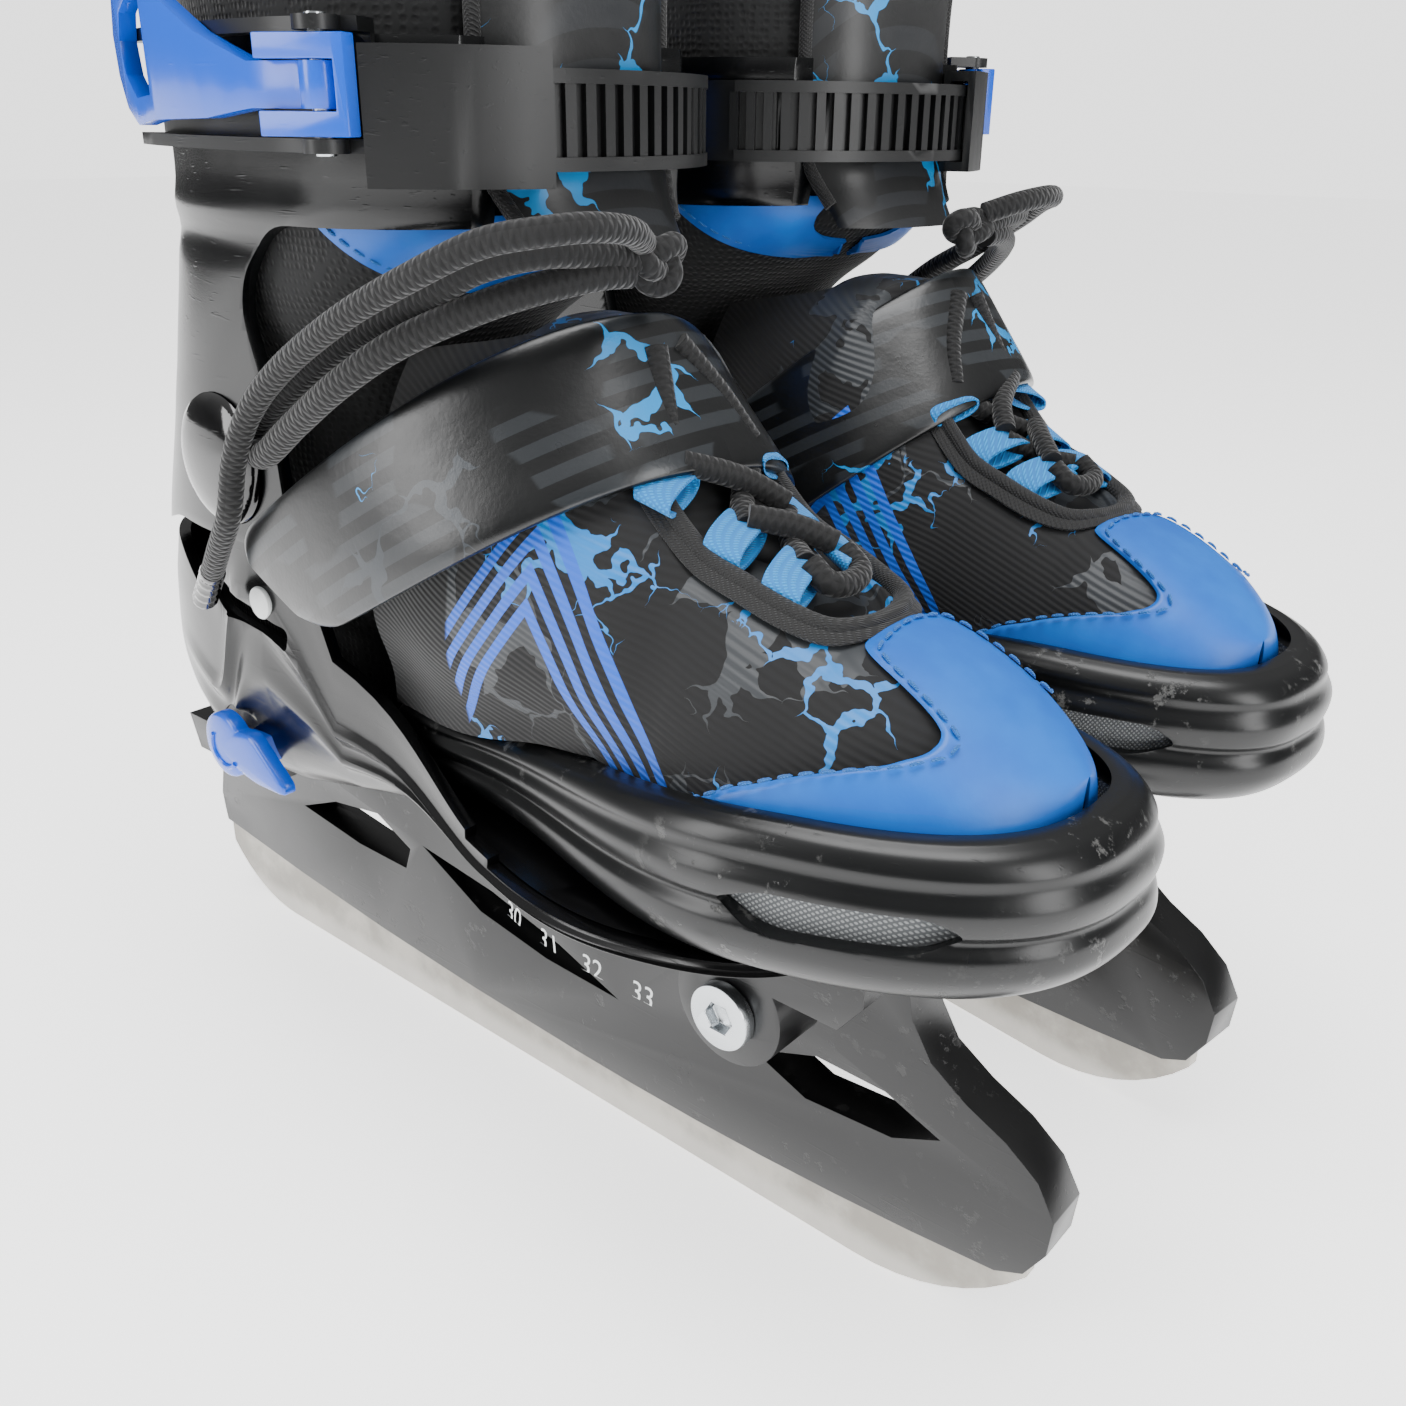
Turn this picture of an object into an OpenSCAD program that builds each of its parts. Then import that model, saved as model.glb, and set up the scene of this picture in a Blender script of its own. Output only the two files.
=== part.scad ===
// A pair of size-adjustable ice skates: a hard shell on a steel runner, a soft boot inside it,
// a hinged cuff with a ratchet buckle, a strap over the instep and a laced front.
// Each skate is drawn once, as the right one, about its own ice edge, and the left is its mirror.
// X points to the toe, -Y to the outer side of the right skate, and Z up from the ice.

/* [Runner] */
// Length of the steel runner
runner_len = 233; // [200:1:260]
// Thickness of the steel
runner_t = 3; // [2.4:0.1:4]
// Height of steel that shows under the holder
runner_show = 12.2; // [9:0.1:16]
// Length of the flat that rests on the ice
flat_len = 174; // [150:1:185]
// Depth of steel gripped inside the holder
runner_grip = 7; // [4:0.5:8]

/* [Holder] */
// Thickness of the holder's web
web_t = 9; // [7:0.5:12]
// Height of the holder's top above the ice
sole_z = 78; // [74:1:84]
// Width of the front seat
front_seat_w = 34; // [28:1:40]
// Width of the rear seat
rear_seat_w = 40; // [32:1:46]
// Radius of the bolt's shank
bolt_r = 3; // [2.5:0.1:3.5]
// Radius of the bolt's head
bolt_head_r = 6; // [5:0.25:7]

/* [Boot] */
// Half width of the heel
heel_w = 27; // [25:0.5:28]
// Outer half width at the ball of the foot
ball_out_w = 44; // [40:0.5:46]
// Inner half width at the ball of the foot
ball_in_w = 34; // [32:0.5:35]
// Wall of the hard shells
shell_t = 2.5; // [2:0.25:3]
// Wall of the soft boot
soft_t = 3; // [2:0.25:3.5]
// Clearance between pieces that slide on each other
slide_gap = 0.6; // [0.5:0.05:0.8]
// Travel of the toe from the largest size to the smallest
toe_travel = 20; // [14:1:22]

/* [Cuff] */
// Height of the ankle rivets above the ice
ankle_z = 133; // [130:1:136]
// Radius of the ankle rivet's shaft
ankle_r = 4; // [3:0.25:5]
// Radius of the ankle cap
ankle_cap_r = 12; // [9:0.5:13]
// Height of the collar's top above the ice
collar_z = 252; // [240:1:265]
// Height of the buckle's middle above the ice
buckle_z = 190; // [188:1:192]

/* [Pair] */
// Distance between the two skates
pair_gap = 86; // [86:1:120]
// Angle that the left skate toes in
toe_in = 8; // [0:0.5:8]

/* [Hidden] */
$fn = 32;
// Height of the ball of the foot's fixing bolt, and its place along the skate
bolt_z = 53;
bolt_x = 62;
// Ends of the steel, and the radii of its two rounded ends
runner_back = -runner_len / 2 - 3;
runner_front = runner_back + runner_len;
flat_back = -flat_len / 2 - 7;
flat_front = flat_back + flat_len;
heel_rise = 12.7;
toe_rise = 16.5;
heel_arc = (pow(flat_back - runner_back, 2) + pow(heel_rise, 2)) / (2 * heel_rise);
toe_arc = (pow(runner_front - flat_front, 2) + pow(toe_rise, 2)) / (2 * toe_rise);
// Place of the screw under the heel
heel_bolt_x = -82;
// Heights of the shells: underside at the heel and under the ball, tray top, toe floor and rims
heel_under = 62;
tray_under = sole_z - 4;
tray_top = sole_z + 0.5;
toe_under = tray_top + 1;
toe_floor = toe_under + shell_t;
toe_rim_front = toe_under + 24.5;
toe_rim_back = toe_under + 12;
shell_back = -110;
toe_tip = 122;
toe_back = -10;
heel_rim = 101;
arm_rim = 81;
// Half widths at the waist of the foot, where the toe shell runs inside the heel shell
waist_out = heel_w + 1.5;
waist_in = heel_w + 1;
// Ankle joint
ankle_x = -43;
heel_wall_y = waist_out + slide_gap + shell_t;
cuff_gap = 0.7;
cuff_in_y = heel_wall_y + cuff_gap;
cuff_out_y = cuff_in_y + shell_t;
ear_r = 13;
bush_r = ankle_r + 3;
run_gap = 0.06;
// Cuff
cuff_front = 15;
cuff_top = 201;
cuff_low = 112;
window_back = -25;
window_top = 175;
// Buckle
strap_h = 14;
strap_low = buckle_z - strap_h / 2;
pin_r = 1.5;
// Size button
button_x = -52;
button_z = 71;
button_travel = 2.5;
rack_half = 8;
// Instep strap
strap_w = 27;
strap_t = 2.6;
ring_n = 48;
eps = 0.01;

PARTS = ["runner", "blade_holder", "front_bolt", "bolt_sleeve", "heel_screw", "heel_shell", "footbed",
    "boot_quarter", "strap_rivets", "pivot_bushes", "lace", "ladder_anchor", "toe_shell", "toe_cap",
    "vent_mesh", "vamp", "lace_loops", "toe_slider", "size_button", "button_spring", "instep_strap",
    "cuff", "collar", "ankle_rivets", "tongue", "buckle_base", "buckle_pin", "buckle_lever",
    "buckle_pawl", "ladder_strap"];

// Helpers
function se(v, p) = sign(v) * pow(abs(v), p);
function mix(a, b, t) = a + (b - a) * t;
function ease(a, b, x) = let (t = min(max((x - a) / (b - a), 0), 1)) t * t * (3 - 2 * t);
function bez(p, t) = pow(1 - t, 3) * p[0] + 3 * t * pow(1 - t, 2) * p[1] + 3 * t * t * (1 - t) * p[2]
    + pow(t, 3) * p[3];
function unit(v) = v / norm(v);

// Half widths of the toe shell, and of the heel shell that it slides back into
function toe_side(x, y) = y < 0 ? mix(waist_out, ball_out_w, ease(10, 80, x))
    : mix(waist_in, ball_in_w, ease(10, 80, x));
function heel_side(x, y) = toe_side(x + toe_travel, y) + slide_gap;

// A closed outline between two ends: half an ellipse behind mid and a squarer curve before it,
// with half widths from side(x, y) plus grow
function foot_ring(back, front, side, grow, height, n = ring_n, power = 2.5, mid = 26) =
    [for (k = [0:n - 1]) let (a = 360 * (k + 0.5) / n, c = cos(a), s = sin(a), p = 2 / (c < 0 ? 2 : power),
        x = mid + (c < 0 ? mid - back : front - mid) * se(c, p))
        [x, (side(x, s) + grow) * se(s, p), height(x)]];
function level(z) = function (x) z;

// A solid skin through a list of rings, capped at both ends or closed on itself
module skin(rings, closed = false) {
    n = len(rings[0]);
    m = len(rings);
    sides = [for (i = [0:m - (closed ? 1 : 2)]) let (b = (i + 1) % m) for (j = [0:n - 1])
        let (k = (j + 1) % n)
        each [[i * n + j, b * n + j, b * n + k], [i * n + j, b * n + k, i * n + k]]];
    caps = closed ? [] : [[for (j = [0:n - 1]) j], [for (j = [n - 1:-1:0]) (m - 1) * n + j]];
    polyhedron([for (r = rings) each r], concat(sides, caps));
}
// Evaluates its children as one mesh
module one_mesh() { resize([0, 0, 0]) children(); }
// A plate of a side-view profile, centred on the skate's middle plane
module plate(thick) { translate([0, thick / 2, 0]) rotate([90, 0, 0]) linear_extrude(thick) children(); }
// A cylinder across the skate from y0 to y1
module cross_pin(r, x, z, y0, y1) {
    translate([x, y1, z]) rotate([90, 0, 0]) cylinder(h = y1 - y0, r = r, $fn = 48);
}
// A tube through a list of points
module rope(pts, r, n = 8) {
    m = len(pts);
    function tangent(i) = unit(pts[min(i + 1, m - 1)] - pts[max(i - 1, 0)]);
    function across(t) = unit(cross(t, abs(t[2]) > 0.9 ? [0, 1, 0] : [0, 0, 1]));
    rings = [for (i = [0:m - 1]) let (t = tangent(i), u = across(t), v = cross(t, u))
        [for (k = [0:n - 1]) pts[i] + r * (cos(360 * k / n) * u + sin(360 * k / n) * v)]];
    skin(rings);
}

// Edge where the holder meets the steel: lowest under the ball of the foot, higher at both ends
function grip_line(x) = runner_show + pow(x - 28, 2) * (x < 28 ? 0.00044 : 0.0008);

module runner_profile(grow = 0) {
    heel_end = acos(1 - heel_rise / heel_arc);
    toe_end = acos(1 - toe_rise / toe_arc);
    polygon(concat(
        [for (a = [heel_end:-heel_end / 8:0.01]) [flat_back - heel_arc * sin(a), heel_arc * (1 - cos(a))]],
        [[flat_back, 0], [flat_front, 0]],
        [for (a = [toe_end / 8:toe_end / 8:toe_end + 0.01]) [flat_front + toe_arc * sin(a), toe_arc * (1 - cos(a))]],
        [for (k = [0:12]) let (x = mix(runner_front, runner_back, k / 12))
            [x, grip_line(x) + runner_grip + grow]]));
}

module runner() {
    color("silver") plate(runner_t) runner_profile();
}

module holder_profile() {
    polygon(concat(
        [[-117, 29], [-116.6, 25]],
        [for (k = [0:14]) let (x = mix(-116, 109, k / 14)) [x, grip_line(x)]],
        [[114, 20], [117.4, 26], [118, 33], [114.5, 39], [108.5, 43.5], [101, 47], [94, 51.5],
         [90, 58], [88.5, 66], [88.5, tray_under], [16, tray_under]],
        [for (k = [0:6]) let (x = mix(9, -60, k / 6)) [x, heel_under_at(x) - 1.4]],
        [[-62, heel_under], [-98, heel_under], [-111, 55], [-114, 40]]));
}
module holder_slots() {
    polygon([[-79, 38], [-66, 43.5], [-50, 46], [-39, 41], [-41, 35.5], [-58, 35.5]]);
    polygon([[-34, 43.5], [-12, 41], [8, 36.5], [24, 31], [4, 31.5], [-16, 34.5]]);
    polygon([[58, 36], [72, 41.5], [86, 41.5], [97, 37.5], [88, 33], [70, 31.5]]);
}
// The moulded holder: a web with three see-through slots, a seat under each end of the shell
// and an ear on each side for the cross bolt
module blade_holder() {
    color([0.05, 0.05, 0.06]) difference() {
        union() {
            plate(web_t) difference() { holder_profile(); holder_slots(); }
            plate(front_seat_w) polygon([[44, tray_under], [88.5, tray_under], [88.5, 66], [84, 60], [52, 60]]);
            plate(rear_seat_w) polygon([[-98, heel_under], [-60, heel_under], [-66, 54], [-95, 54]]);
            cross_pin(bolt_head_r + 5, bolt_x, bolt_z + 1, -front_seat_w / 2, front_seat_w / 2);
        }
        plate(runner_t + 0.04) runner_profile(0.04);
        cross_pin(bolt_r + 1.1, bolt_x, bolt_z, -front_seat_w, front_seat_w);
        translate([heel_bolt_x, 0, heel_under - 25]) cylinder(h = 30, r = 3.05);
    }
}

module bolt_socket(r, depth) {
    cylinder(h = depth, r = r / cos(30), $fn = 6);
}
module front_bolt() {
    color("lightgray") translate([bolt_x, -front_seat_w / 2 - eps, bolt_z]) rotate([90, 0, 0]) difference() {
        union() {
            cylinder(h = 2.6, r = bolt_head_r);
            translate([0, 0, -front_seat_w + 4]) cylinder(h = front_seat_w - 4, r = bolt_r);
        }
        translate([0, 0, 0.4]) bolt_socket(bolt_head_r * 0.42, 3);
    }
}
module bolt_sleeve() {
    color("lightgray") translate([bolt_x, front_seat_w / 2 + eps, bolt_z]) rotate([-90, 0, 0]) difference() {
        union() {
            cylinder(h = 2.6, r = bolt_head_r);
            translate([0, 0, -front_seat_w + 0.5]) cylinder(h = front_seat_w - 0.5, r = bolt_r + 1.05);
        }
        translate([0, 0, -front_seat_w]) cylinder(h = front_seat_w - 0.5, r = bolt_r + 0.05);
        translate([0, 0, 0.6]) bolt_socket(bolt_head_r * 0.42, 3);
    }
}
module heel_screw() {
    color("lightgray") translate([heel_bolt_x, 0, tray_top - 0.1]) rotate([180, 0, 0]) difference() {
        union() {
            cylinder(h = 2.5, r = bolt_head_r);
            translate([0, 0, 2]) cylinder(h = 36, r = bolt_r);
        }
        translate([0, 0, -eps]) bolt_socket(bolt_head_r * 0.42, 1.6);
    }
}

// Heel shell: a cup round the heel whose sides run forward as two low arms beside a flat tray,
// with an ear on each side that carries the ankle rivet
function heel_rim_at(x) = mix(mix(heel_rim, 99, ease(-80, -18, x)), arm_rim, ease(-26, 28, x))
    + (ankle_z + ear_r - 99) * exp(-pow((x - ankle_x) / 14, 4));
function heel_under_at(x) = mix(heel_under, tray_under, ease(-60, 10, x));
module heel_shell() {
    side = function (x, y) heel_side(x, y);
    front = 88;
    function ring(v, grow, back, ahead) = foot_ring(back, ahead, side, grow,
        function (x) mix(heel_under_at(x), heel_rim_at(x), v), 56, 4, ankle_x);
    color([0.05, 0.05, 0.06]) one_mesh() difference() {
        skin([
            ring(0, -6, shell_back + 9, front - 4), ring(0.12, -0.5, shell_back + 4, front - 1),
            ring(0.45, shell_t + 0.4, shell_back, front), ring(0.75, shell_t + 0.1, shell_back + 1.5, front),
            ring(1, shell_t, shell_back + 6, front),
            ring(1, 0, shell_back + 6 + shell_t, front - shell_t),
            ring(0.75, 0, shell_back + shell_t + 1.5, front - shell_t),
            foot_ring(shell_back + shell_t + 1.5, front - shell_t, side, -0.1, level(tray_top), 56, 4, ankle_x)]);
        translate([22, -60, arm_rim - 1]) cube([80, 120, 40]);
        translate([30, -60, tray_top]) cube([80, 120, 40]);
        for (y = [-60, 0]) translate([ankle_x, y, ankle_z]) rotate([-90, 0, 0])
            cylinder(h = 60, r = bush_r + 0.15, $fn = 48);
        recess();
        button_pocket();
        translate([heel_bolt_x, 0, heel_under - 5]) cylinder(h = 40, r = bolt_r + 0.3);
        translate([heel_bolt_x, 0, tray_top - 2.6]) cylinder(h = 40, r = bolt_head_r + 0.3);
    }
    color([0.05, 0.05, 0.06]) difference() {
        translate([button_x, -heel_wall_y - 0.8, button_z]) rotate([-90, 0, 0]) linear_extrude(5) button_outline(2.2);
        translate([button_x, -60, button_z]) rotate([-90, 0, 0]) linear_extrude(62.6 - heel_wall_y) button_outline(0.5);
        translate([button_x - 3.4, -60, button_z - 3.4]) cube([6.8, 60, 6.8]);
    }
}
// Windows through both flanks behind the arms, below the ankle
module recess() {
    hull() for (p = [[-63, 108], [-57, 103], [-34, 99.5]]) translate([p[0], 60, p[1]]) rotate([90, 0, 0])
        cylinder(h = 120, r = 2.4, $fn = 16);
}
module button_pocket() {
    translate([button_x, -60, button_z]) rotate([-90, 0, 0]) linear_extrude(62.6 - heel_wall_y) button_outline(0.5);
    translate([button_x - 3.4, -60, button_z - 3.4]) cube([6.8, 60, 6.8]);
    translate([button_x - 5, -1, button_z - 5]) cube([10, 20, 10]);
    translate([button_x - 5, rack_half - 4, button_z]) cube([10, 15, 20]);
}

module footbed() {
    color([0.2, 0.2, 0.22]) skin([for (z = [88.2, 91.4])
        foot_ring(-98, 82, function (x, y) toe_side(x - 12, y) - 12, (z - 88) / 8, level(z), 40)]);
}

// Soft heel and sides of the boot, open at the top for the leg and at the front for the foot
module boot_quarter() {
    back = shell_back + 5.5;
    function rim(x) = 147 - 13 * ease(-30, 8, x);
    function ring(v, w, from, low = 84) = foot_ring(back + from, 50, function (x, y) w, 0,
        function (x) mix(low, rim(x), v), 44, 3, ankle_x);
    color([0.04, 0.04, 0.05]) one_mesh() difference() {
        skin([ring(0, 19.5, 4), ring(0.08, 20.6, 0.3), ring(0.2, 21.2, 1), ring(0.35, 24.4, 7), ring(0.6, 25, 17),
            ring(0.8, 25.4, 24), ring(1, 25.4, 27), ring(1, 22.4, 30.5), ring(0.8, 22, 27.5), ring(0.6, 22, 20.5),
            ring(0.35, 20.6, 10.5), ring(0.05, 18.6, 5)]);
        translate([12, -60, 60]) cube([80, 120, 120]);
    }
}

module strap_rivets() {
    color("white") for (s = [-1, 1]) translate([-40.5, s * (heel_wall_y + 0.32), 105.5])
        rotate([-s * 90, 0, 0]) cylinder(h = 1.2, r = 3.2);
}

// Bushes in the ears: the ankle rivets turn in them
module pivot_bushes() {
    color("dimgray") for (s = [-1, 1]) difference() {
        wall_ring(s, bush_r, heel_wall_y - shell_t, heel_wall_y);
        wall_ring(s, ankle_r + run_gap, heel_wall_y - shell_t - 1, heel_wall_y + 1);
    }
}
// A cylinder through the outer (s = -1) or inner (s = 1) side, between two distances from the middle
module wall_ring(s, r, y0, y1) {
    cross_pin(r, ankle_x, ankle_z, min(s * y0, s * y1), max(s * y0, s * y1));
}
module ankle_rivets() {
    color([0.05, 0.05, 0.06]) for (s = [-1, 1]) {
        wall_ring(s, ankle_r, heel_wall_y - shell_t - 0.6, cuff_out_y + 0.7);
        wall_ring(s, ankle_r + 2.5, heel_wall_y - shell_t - 2.1, heel_wall_y - shell_t - 0.4);
        translate([ankle_x, s * (cuff_out_y + 0.6), ankle_z]) rotate([-s * 90, 0, 0])
            rotate_extrude() polygon(concat([[0, 0]], [for (a = [0:15:90]) [ankle_cap_r * cos(a), 3.2 * sin(a)]]));
    }
}

// Toe shell: a low cup with a rolled bumper rim, open behind, with a vent on each side
function toe_rim_at(x) = mix(toe_rim_back, toe_rim_front, ease(-10, 88, x));
module toe_shell() {
    side = function (x, y) toe_side(x, y);
    function ring(v, grow, ahead) = foot_ring(-70, ahead, side, grow,
        function (x) mix(toe_under, toe_rim_at(x), v), 56, 2.5);
    color([0.06, 0.06, 0.07]) one_mesh() difference() {
        skin([
            ring(0, -6, toe_tip - 9), ring(0.08, -1.5, toe_tip - 3.5), ring(0.4, 0, toe_tip),
            ring(0.75, -0.6, toe_tip - 0.5), ring(1, -3, toe_tip - 6),
            ring(1, -3 - shell_t, toe_tip - 6 - shell_t), ring(0.75, -0.6 - shell_t, toe_tip - 0.5 - shell_t),
            ring(0.4, -shell_t, toe_tip - shell_t),
            foot_ring(-70, toe_tip - 8, side, -4, level(toe_floor), 56, 2.5)]);
        translate([-90, -60, 60]) cube([90 + toe_back, 120, 60]);
        vent(60);
    }
}
module vent(reach) {
    hull() for (x = [80, 104]) translate([x, reach, toe_under + 11.5]) rotate([90, 0, 0])
        cylinder(h = 2 * reach, r = 2.6, $fn = 16);
}
// Grey mesh behind the two vents
module vent_mesh() {
    side = function (x, y) toe_side(x, y);
    function ring(z, grow) = foot_ring(-70, toe_tip - 5 + grow, side, -4.2 + grow, level(z), 56, 2.5);
    color("gray") one_mesh() difference() {
        skin([ring(toe_under + 8, 0.8), ring(toe_under + 15, 0.8), ring(toe_under + 15, 0), ring(toe_under + 8, 0)],
            closed = true);
        translate([-90, -60, 60]) cube([167, 120, 60]);
        translate([107, -60, 60]) cube([60, 120, 60]);
    }
}
module toe_slider() {
    color("dimgray") difference() {
        translate([-78, -rack_half, toe_under]) cube([78 + toe_back, 2 * rack_half, shell_t]);
        for (k = [0:3]) translate([button_x - 3 - k * 5.5, rack_half - 2, toe_under - 1])
            cube([3.4, 4, shell_t + 2]);
    }
}

// Height of the boot's ridge along its middle, from the nose up the instep
function ridge_z(x) = let (d = 78 - x) d < 0 ? mix(122, 103, pow(-d / 38, 1.6))
    : min(161, 122 + 0.4 * d + 0.28 * pow(max(0, d - 24), 1.3));
// How far the outline has drawn in towards the nose at x, from 1 along the sides to 0 at the front
function nose(x, front) = pow(max(0, 1 - pow(max(0, (x - 26) / (front - 26)), 2.5)), 0.4);
// Radius of the lace
lace_r = 2.3;
// How far the sides of the forefoot stand in from the toe shell
vamp_inset = 7.2;
// An arch across the foot at x: from the outer foot line over the ridge to the inner one
function arch(x, grow, base, front, n = 20, sweep = 0) =
    [for (k = [0:n]) let (a = 180 * k / n, c = -cos(a), s = sin(a), px = x + sweep * abs(c),
        z = base + (ridge_z(px) + grow - base) * pow(s, 0.8),
        puff = 4.5 * ease(toe_rim_front - 8, toe_rim_front + 8, z) * (1 - ease(35, 75, px)),
        inset = mix(-1.5, vamp_inset, ease(14, 50, px)))
        [px, se(c, 0.8) * ((toe_side(px, c) + puff - inset + grow) * nose(px, front + grow)), z]];
function arch_wall(x, g0, g1, base, front, sweep = 0, n = 20) = concat(
    arch(x, g1, base, front, n, sweep),
    let (inner = arch(x, g0, base, front, n, sweep)) [for (i = [n:-1:0]) inner[i]]);

module arch_skin(rings) {
    n = len(rings[0]);
    m = len(rings);
    sides = [for (i = [0:m - 2]) for (j = [0:n - 1]) let (k = (j + 1) % n)
        each [[i * n + j, (i + 1) * n + j, (i + 1) * n + k], [i * n + j, (i + 1) * n + k, i * n + k]]];
    function strip(o, flip) = [for (j = [0:n / 2 - 2]) let (a = o + j, b = o + j + 1, c = o + n - 2 - j, d = o + n - 1 - j)
        each (flip ? [[a, c, b], [a, d, c]] : [[a, b, c], [a, c, d]])];
    polyhedron([for (r = rings) each r], concat(sides, strip(0, false), strip((m - 1) * n, true)));
}

// Soft forefoot of the boot: an arch over the foot that slides with the toe shell
vamp_ends = [16, 96];
module vamp() {
    color([0.08, 0.08, 0.1]) arch_skin([for (k = [0:11]) let (x = mix(vamp_ends[1], vamp_ends[0], k / 11))
        arch_wall(x, -soft_t, 0, mix(toe_rim_at(x) + 0.8, toe_floor + 0.3, ease(44, 58, x)), toe_tip - 11)]);
}
// Cap of smooth coated cloth sewn over the front of the forefoot
cap_t = 1.2;
module toe_cap() {
    base = toe_under + 17;
    function ring(x, sweep) = arch_wall(x, 0.2, cap_t + 0.2, base, toe_tip - 11, sweep);
    color([0, 0.38, 0.85]) arch_skin([
        for (k = [0:5]) ring(mix(toe_tip - 11.4, 104, pow(k / 5, 2)), 0),
        for (k = [1:6]) ring(mix(104, 79, k / 6), -14 * k / 6)]);
}
// Three webbing loops on each side of the throat, and the crossed row of lace that joins them
throat_y = -4;
row_pts = [[73, 1, 130], [70, -3, 132], [65, -7, 134.4], [60.5, -8, 136], [57.8, -5, 137]];
loop_at = [[53, 9], [60, 8], [67, 7]];
module lace_loops() {
    color([0.1, 0.6, 0.85]) for (p = loop_at, s = [-1, 1])
        translate([p[0], throat_y + s * p[1], ridge_z(p[0]) - 0.6]) rotate([90, 24, s * 14]) difference() {
            translate([-3.4, 0, -2.6]) cube([6.8, 5.4, 5.2]);
            translate([-2.4, 0.8, -5]) cube([4.8, 3.8, 10]);
        }
    color([0.03, 0.03, 0.03]) rope(row_pts, lace_r, 8);
}

// Size button: a teardrop cap on a stem, with a hook that drops into the slider's rack
module button_outline(grow = 0) {
    polygon(concat([for (a = [40:20:320]) [-6 + (7 + grow) * cos(a), (7 + grow) * sin(a)]], [[14 + grow, 5]]));
}
module size_button() {
    face = heel_wall_y + 2.9;
    color([0, 0.4, 0.85]) {
        translate([button_x, -face, button_z]) rotate([-90, 0, 0]) linear_extrude(2.6) button_outline();
        translate([button_x - 3, -face, button_z - 3]) cube([6, face + rack_half + 1, 6]);
        translate([button_x - 2.4, rack_half - 1.8, button_z]) cube([2.4, 2.8, toe_under - 0.2 - button_z]);
    }
}
module button_spring() {
    turns = 4;
    steps = 12;
    span = 5.4;
    color("silver") rope([for (i = [0:turns * steps]) let (a = 360 * i / steps)
        [button_x + 2.4 * cos(a), rack_half + 1.7 + span * i / (turns * steps), button_z + 2.4 * sin(a)]], 0.45, 6);
}

// Instep strap: its free outer half, from the ridge of the foot down to its end by the ankle
strap_path = [[42, -2, 152], [39, -33, 156.5], [8, -47.5, 131], [-23, -40.5, 114]];
strap_dir = [unit([-15, 0, 22]), unit([-27, 0, 13])];
module instep_strap() {
    function section(t) = let (c = bez(strap_path, t), ahead = unit(bez(strap_path, min(t + 0.01, 1)) - bez(strap_path, t - 0.01)),
        d = unit(mix(strap_dir[0], strap_dir[1], t)), out = unit(cross(ahead, d)),
        w = strap_w / 2 * (t > 0.9 ? sqrt(1 - pow((t - 0.9) / 0.13, 2)) : 1))
        [c + w * d, c + w * d + strap_t * out, c - w * d + strap_t * out, c - w * d];
    color([0.12, 0.12, 0.13]) skin([for (k = [0:14]) section(k / 14)]);
}

// Outline of the leg at height z: its middle, back, front and half width outside the cuff
function leg_mid(z) = mix(ankle_x, -8, ease(135, 185, z));
function leg_back(z) = -84 - 18 * (1 - ease(104, 146, z));
function leg_front(z) = mix(40, 22, ease(140, 180, z));
function cuff_side(z) = mix(cuff_out_y + 0.3, cuff_out_y + 1.6, ease(140, 185, z));
// Cuff: wraps the heel and both sides of the leg, open in front, with a window on each side
function cuff_low_at(x) = mix(cuff_low, ankle_z - ear_r - 2, ease(-90, -62, x));
module cuff() {
    function ring(v, g) = let (z = mix(cuff_low, cuff_top, v))
        foot_ring(leg_back(z) - g, leg_front(z) + g, function (x, y) cuff_side(z), g,
            function (x) mix(cuff_low_at(x), cuff_top, v), 56, 2, leg_mid(z));
    stops = [0, 0.16, 0.34, 0.52, 0.7, 0.85, 1];
    color([0.05, 0.05, 0.06]) one_mesh() difference() {
        skin(concat([for (v = stops) ring(v, 0)], [for (k = [len(stops) - 1:-1:0]) ring(stops[k], -shell_t)]),
            closed = true);
        translate([cuff_front, -80, 90]) cube([60, 160, 130]);
        translate([window_back, -80, 90]) cube([80, 160, window_top - 90]);
        for (y = [-80, 0]) translate([ankle_x, y, ankle_z]) rotate([-90, 0, 0])
            cylinder(h = 80, r = ankle_r + 0.3, $fn = 40);
    }
}
// Padded liner round the leg, open above and below
function collar_low_at(x) = 157 + 13 * ease(-20, 10, x);
module collar() {
    wall = 7;
    inner = shell_t + 0.8;
    function ring(v, g, flare) = let (z = mix(160, collar_z, v))
        foot_ring(leg_back(z) + inner - g - flare, 14 + g, function (x, y) cuff_side(z) - inner, g + flare,
            function (x) mix(collar_low_at(x), collar_z, v), 44, 2.2, leg_mid(z));
    color([0.03, 0.03, 0.04]) skin([ring(0, -2, 0), ring(0.12, 0, 0), ring(0.45, 0, 0), ring(0.9, 0, 3),
        ring(1, -2, 3), ring(1, -wall + 2, 3), ring(0.9, -wall, 3), ring(0.45, -wall, 0), ring(0.12, -wall, 0),
        ring(0, -wall + 2, 0)], closed = true);
}
// Padded tongue in front of the shin
tongue_t = 5;
module tongue() {
    function front(z) = 21.6 + 3.4 * pow(max(0, 190 - z) / 13, 2) + 4 * ease(205, 255, z);
    function section(z, w) = let (f = front(z)) concat(
        [for (k = [0:8]) let (y = mix(-w, w, k / 8)) [f - tongue_t - y * y / 95, y, z]],
        [for (k = [8:-1:0]) let (y = mix(-w, w, k / 8)) [f - pow(abs(y) / w, 4) * tongue_t * 0.7 - y * y / 95, y, z]]);
    color([0.12, 0.12, 0.13]) skin([section(collar_z + 6, 13), section(collar_z, 18), section(220, 20),
        section(200, 20), section(186, 20), section(177, 17)]);
}

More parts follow.
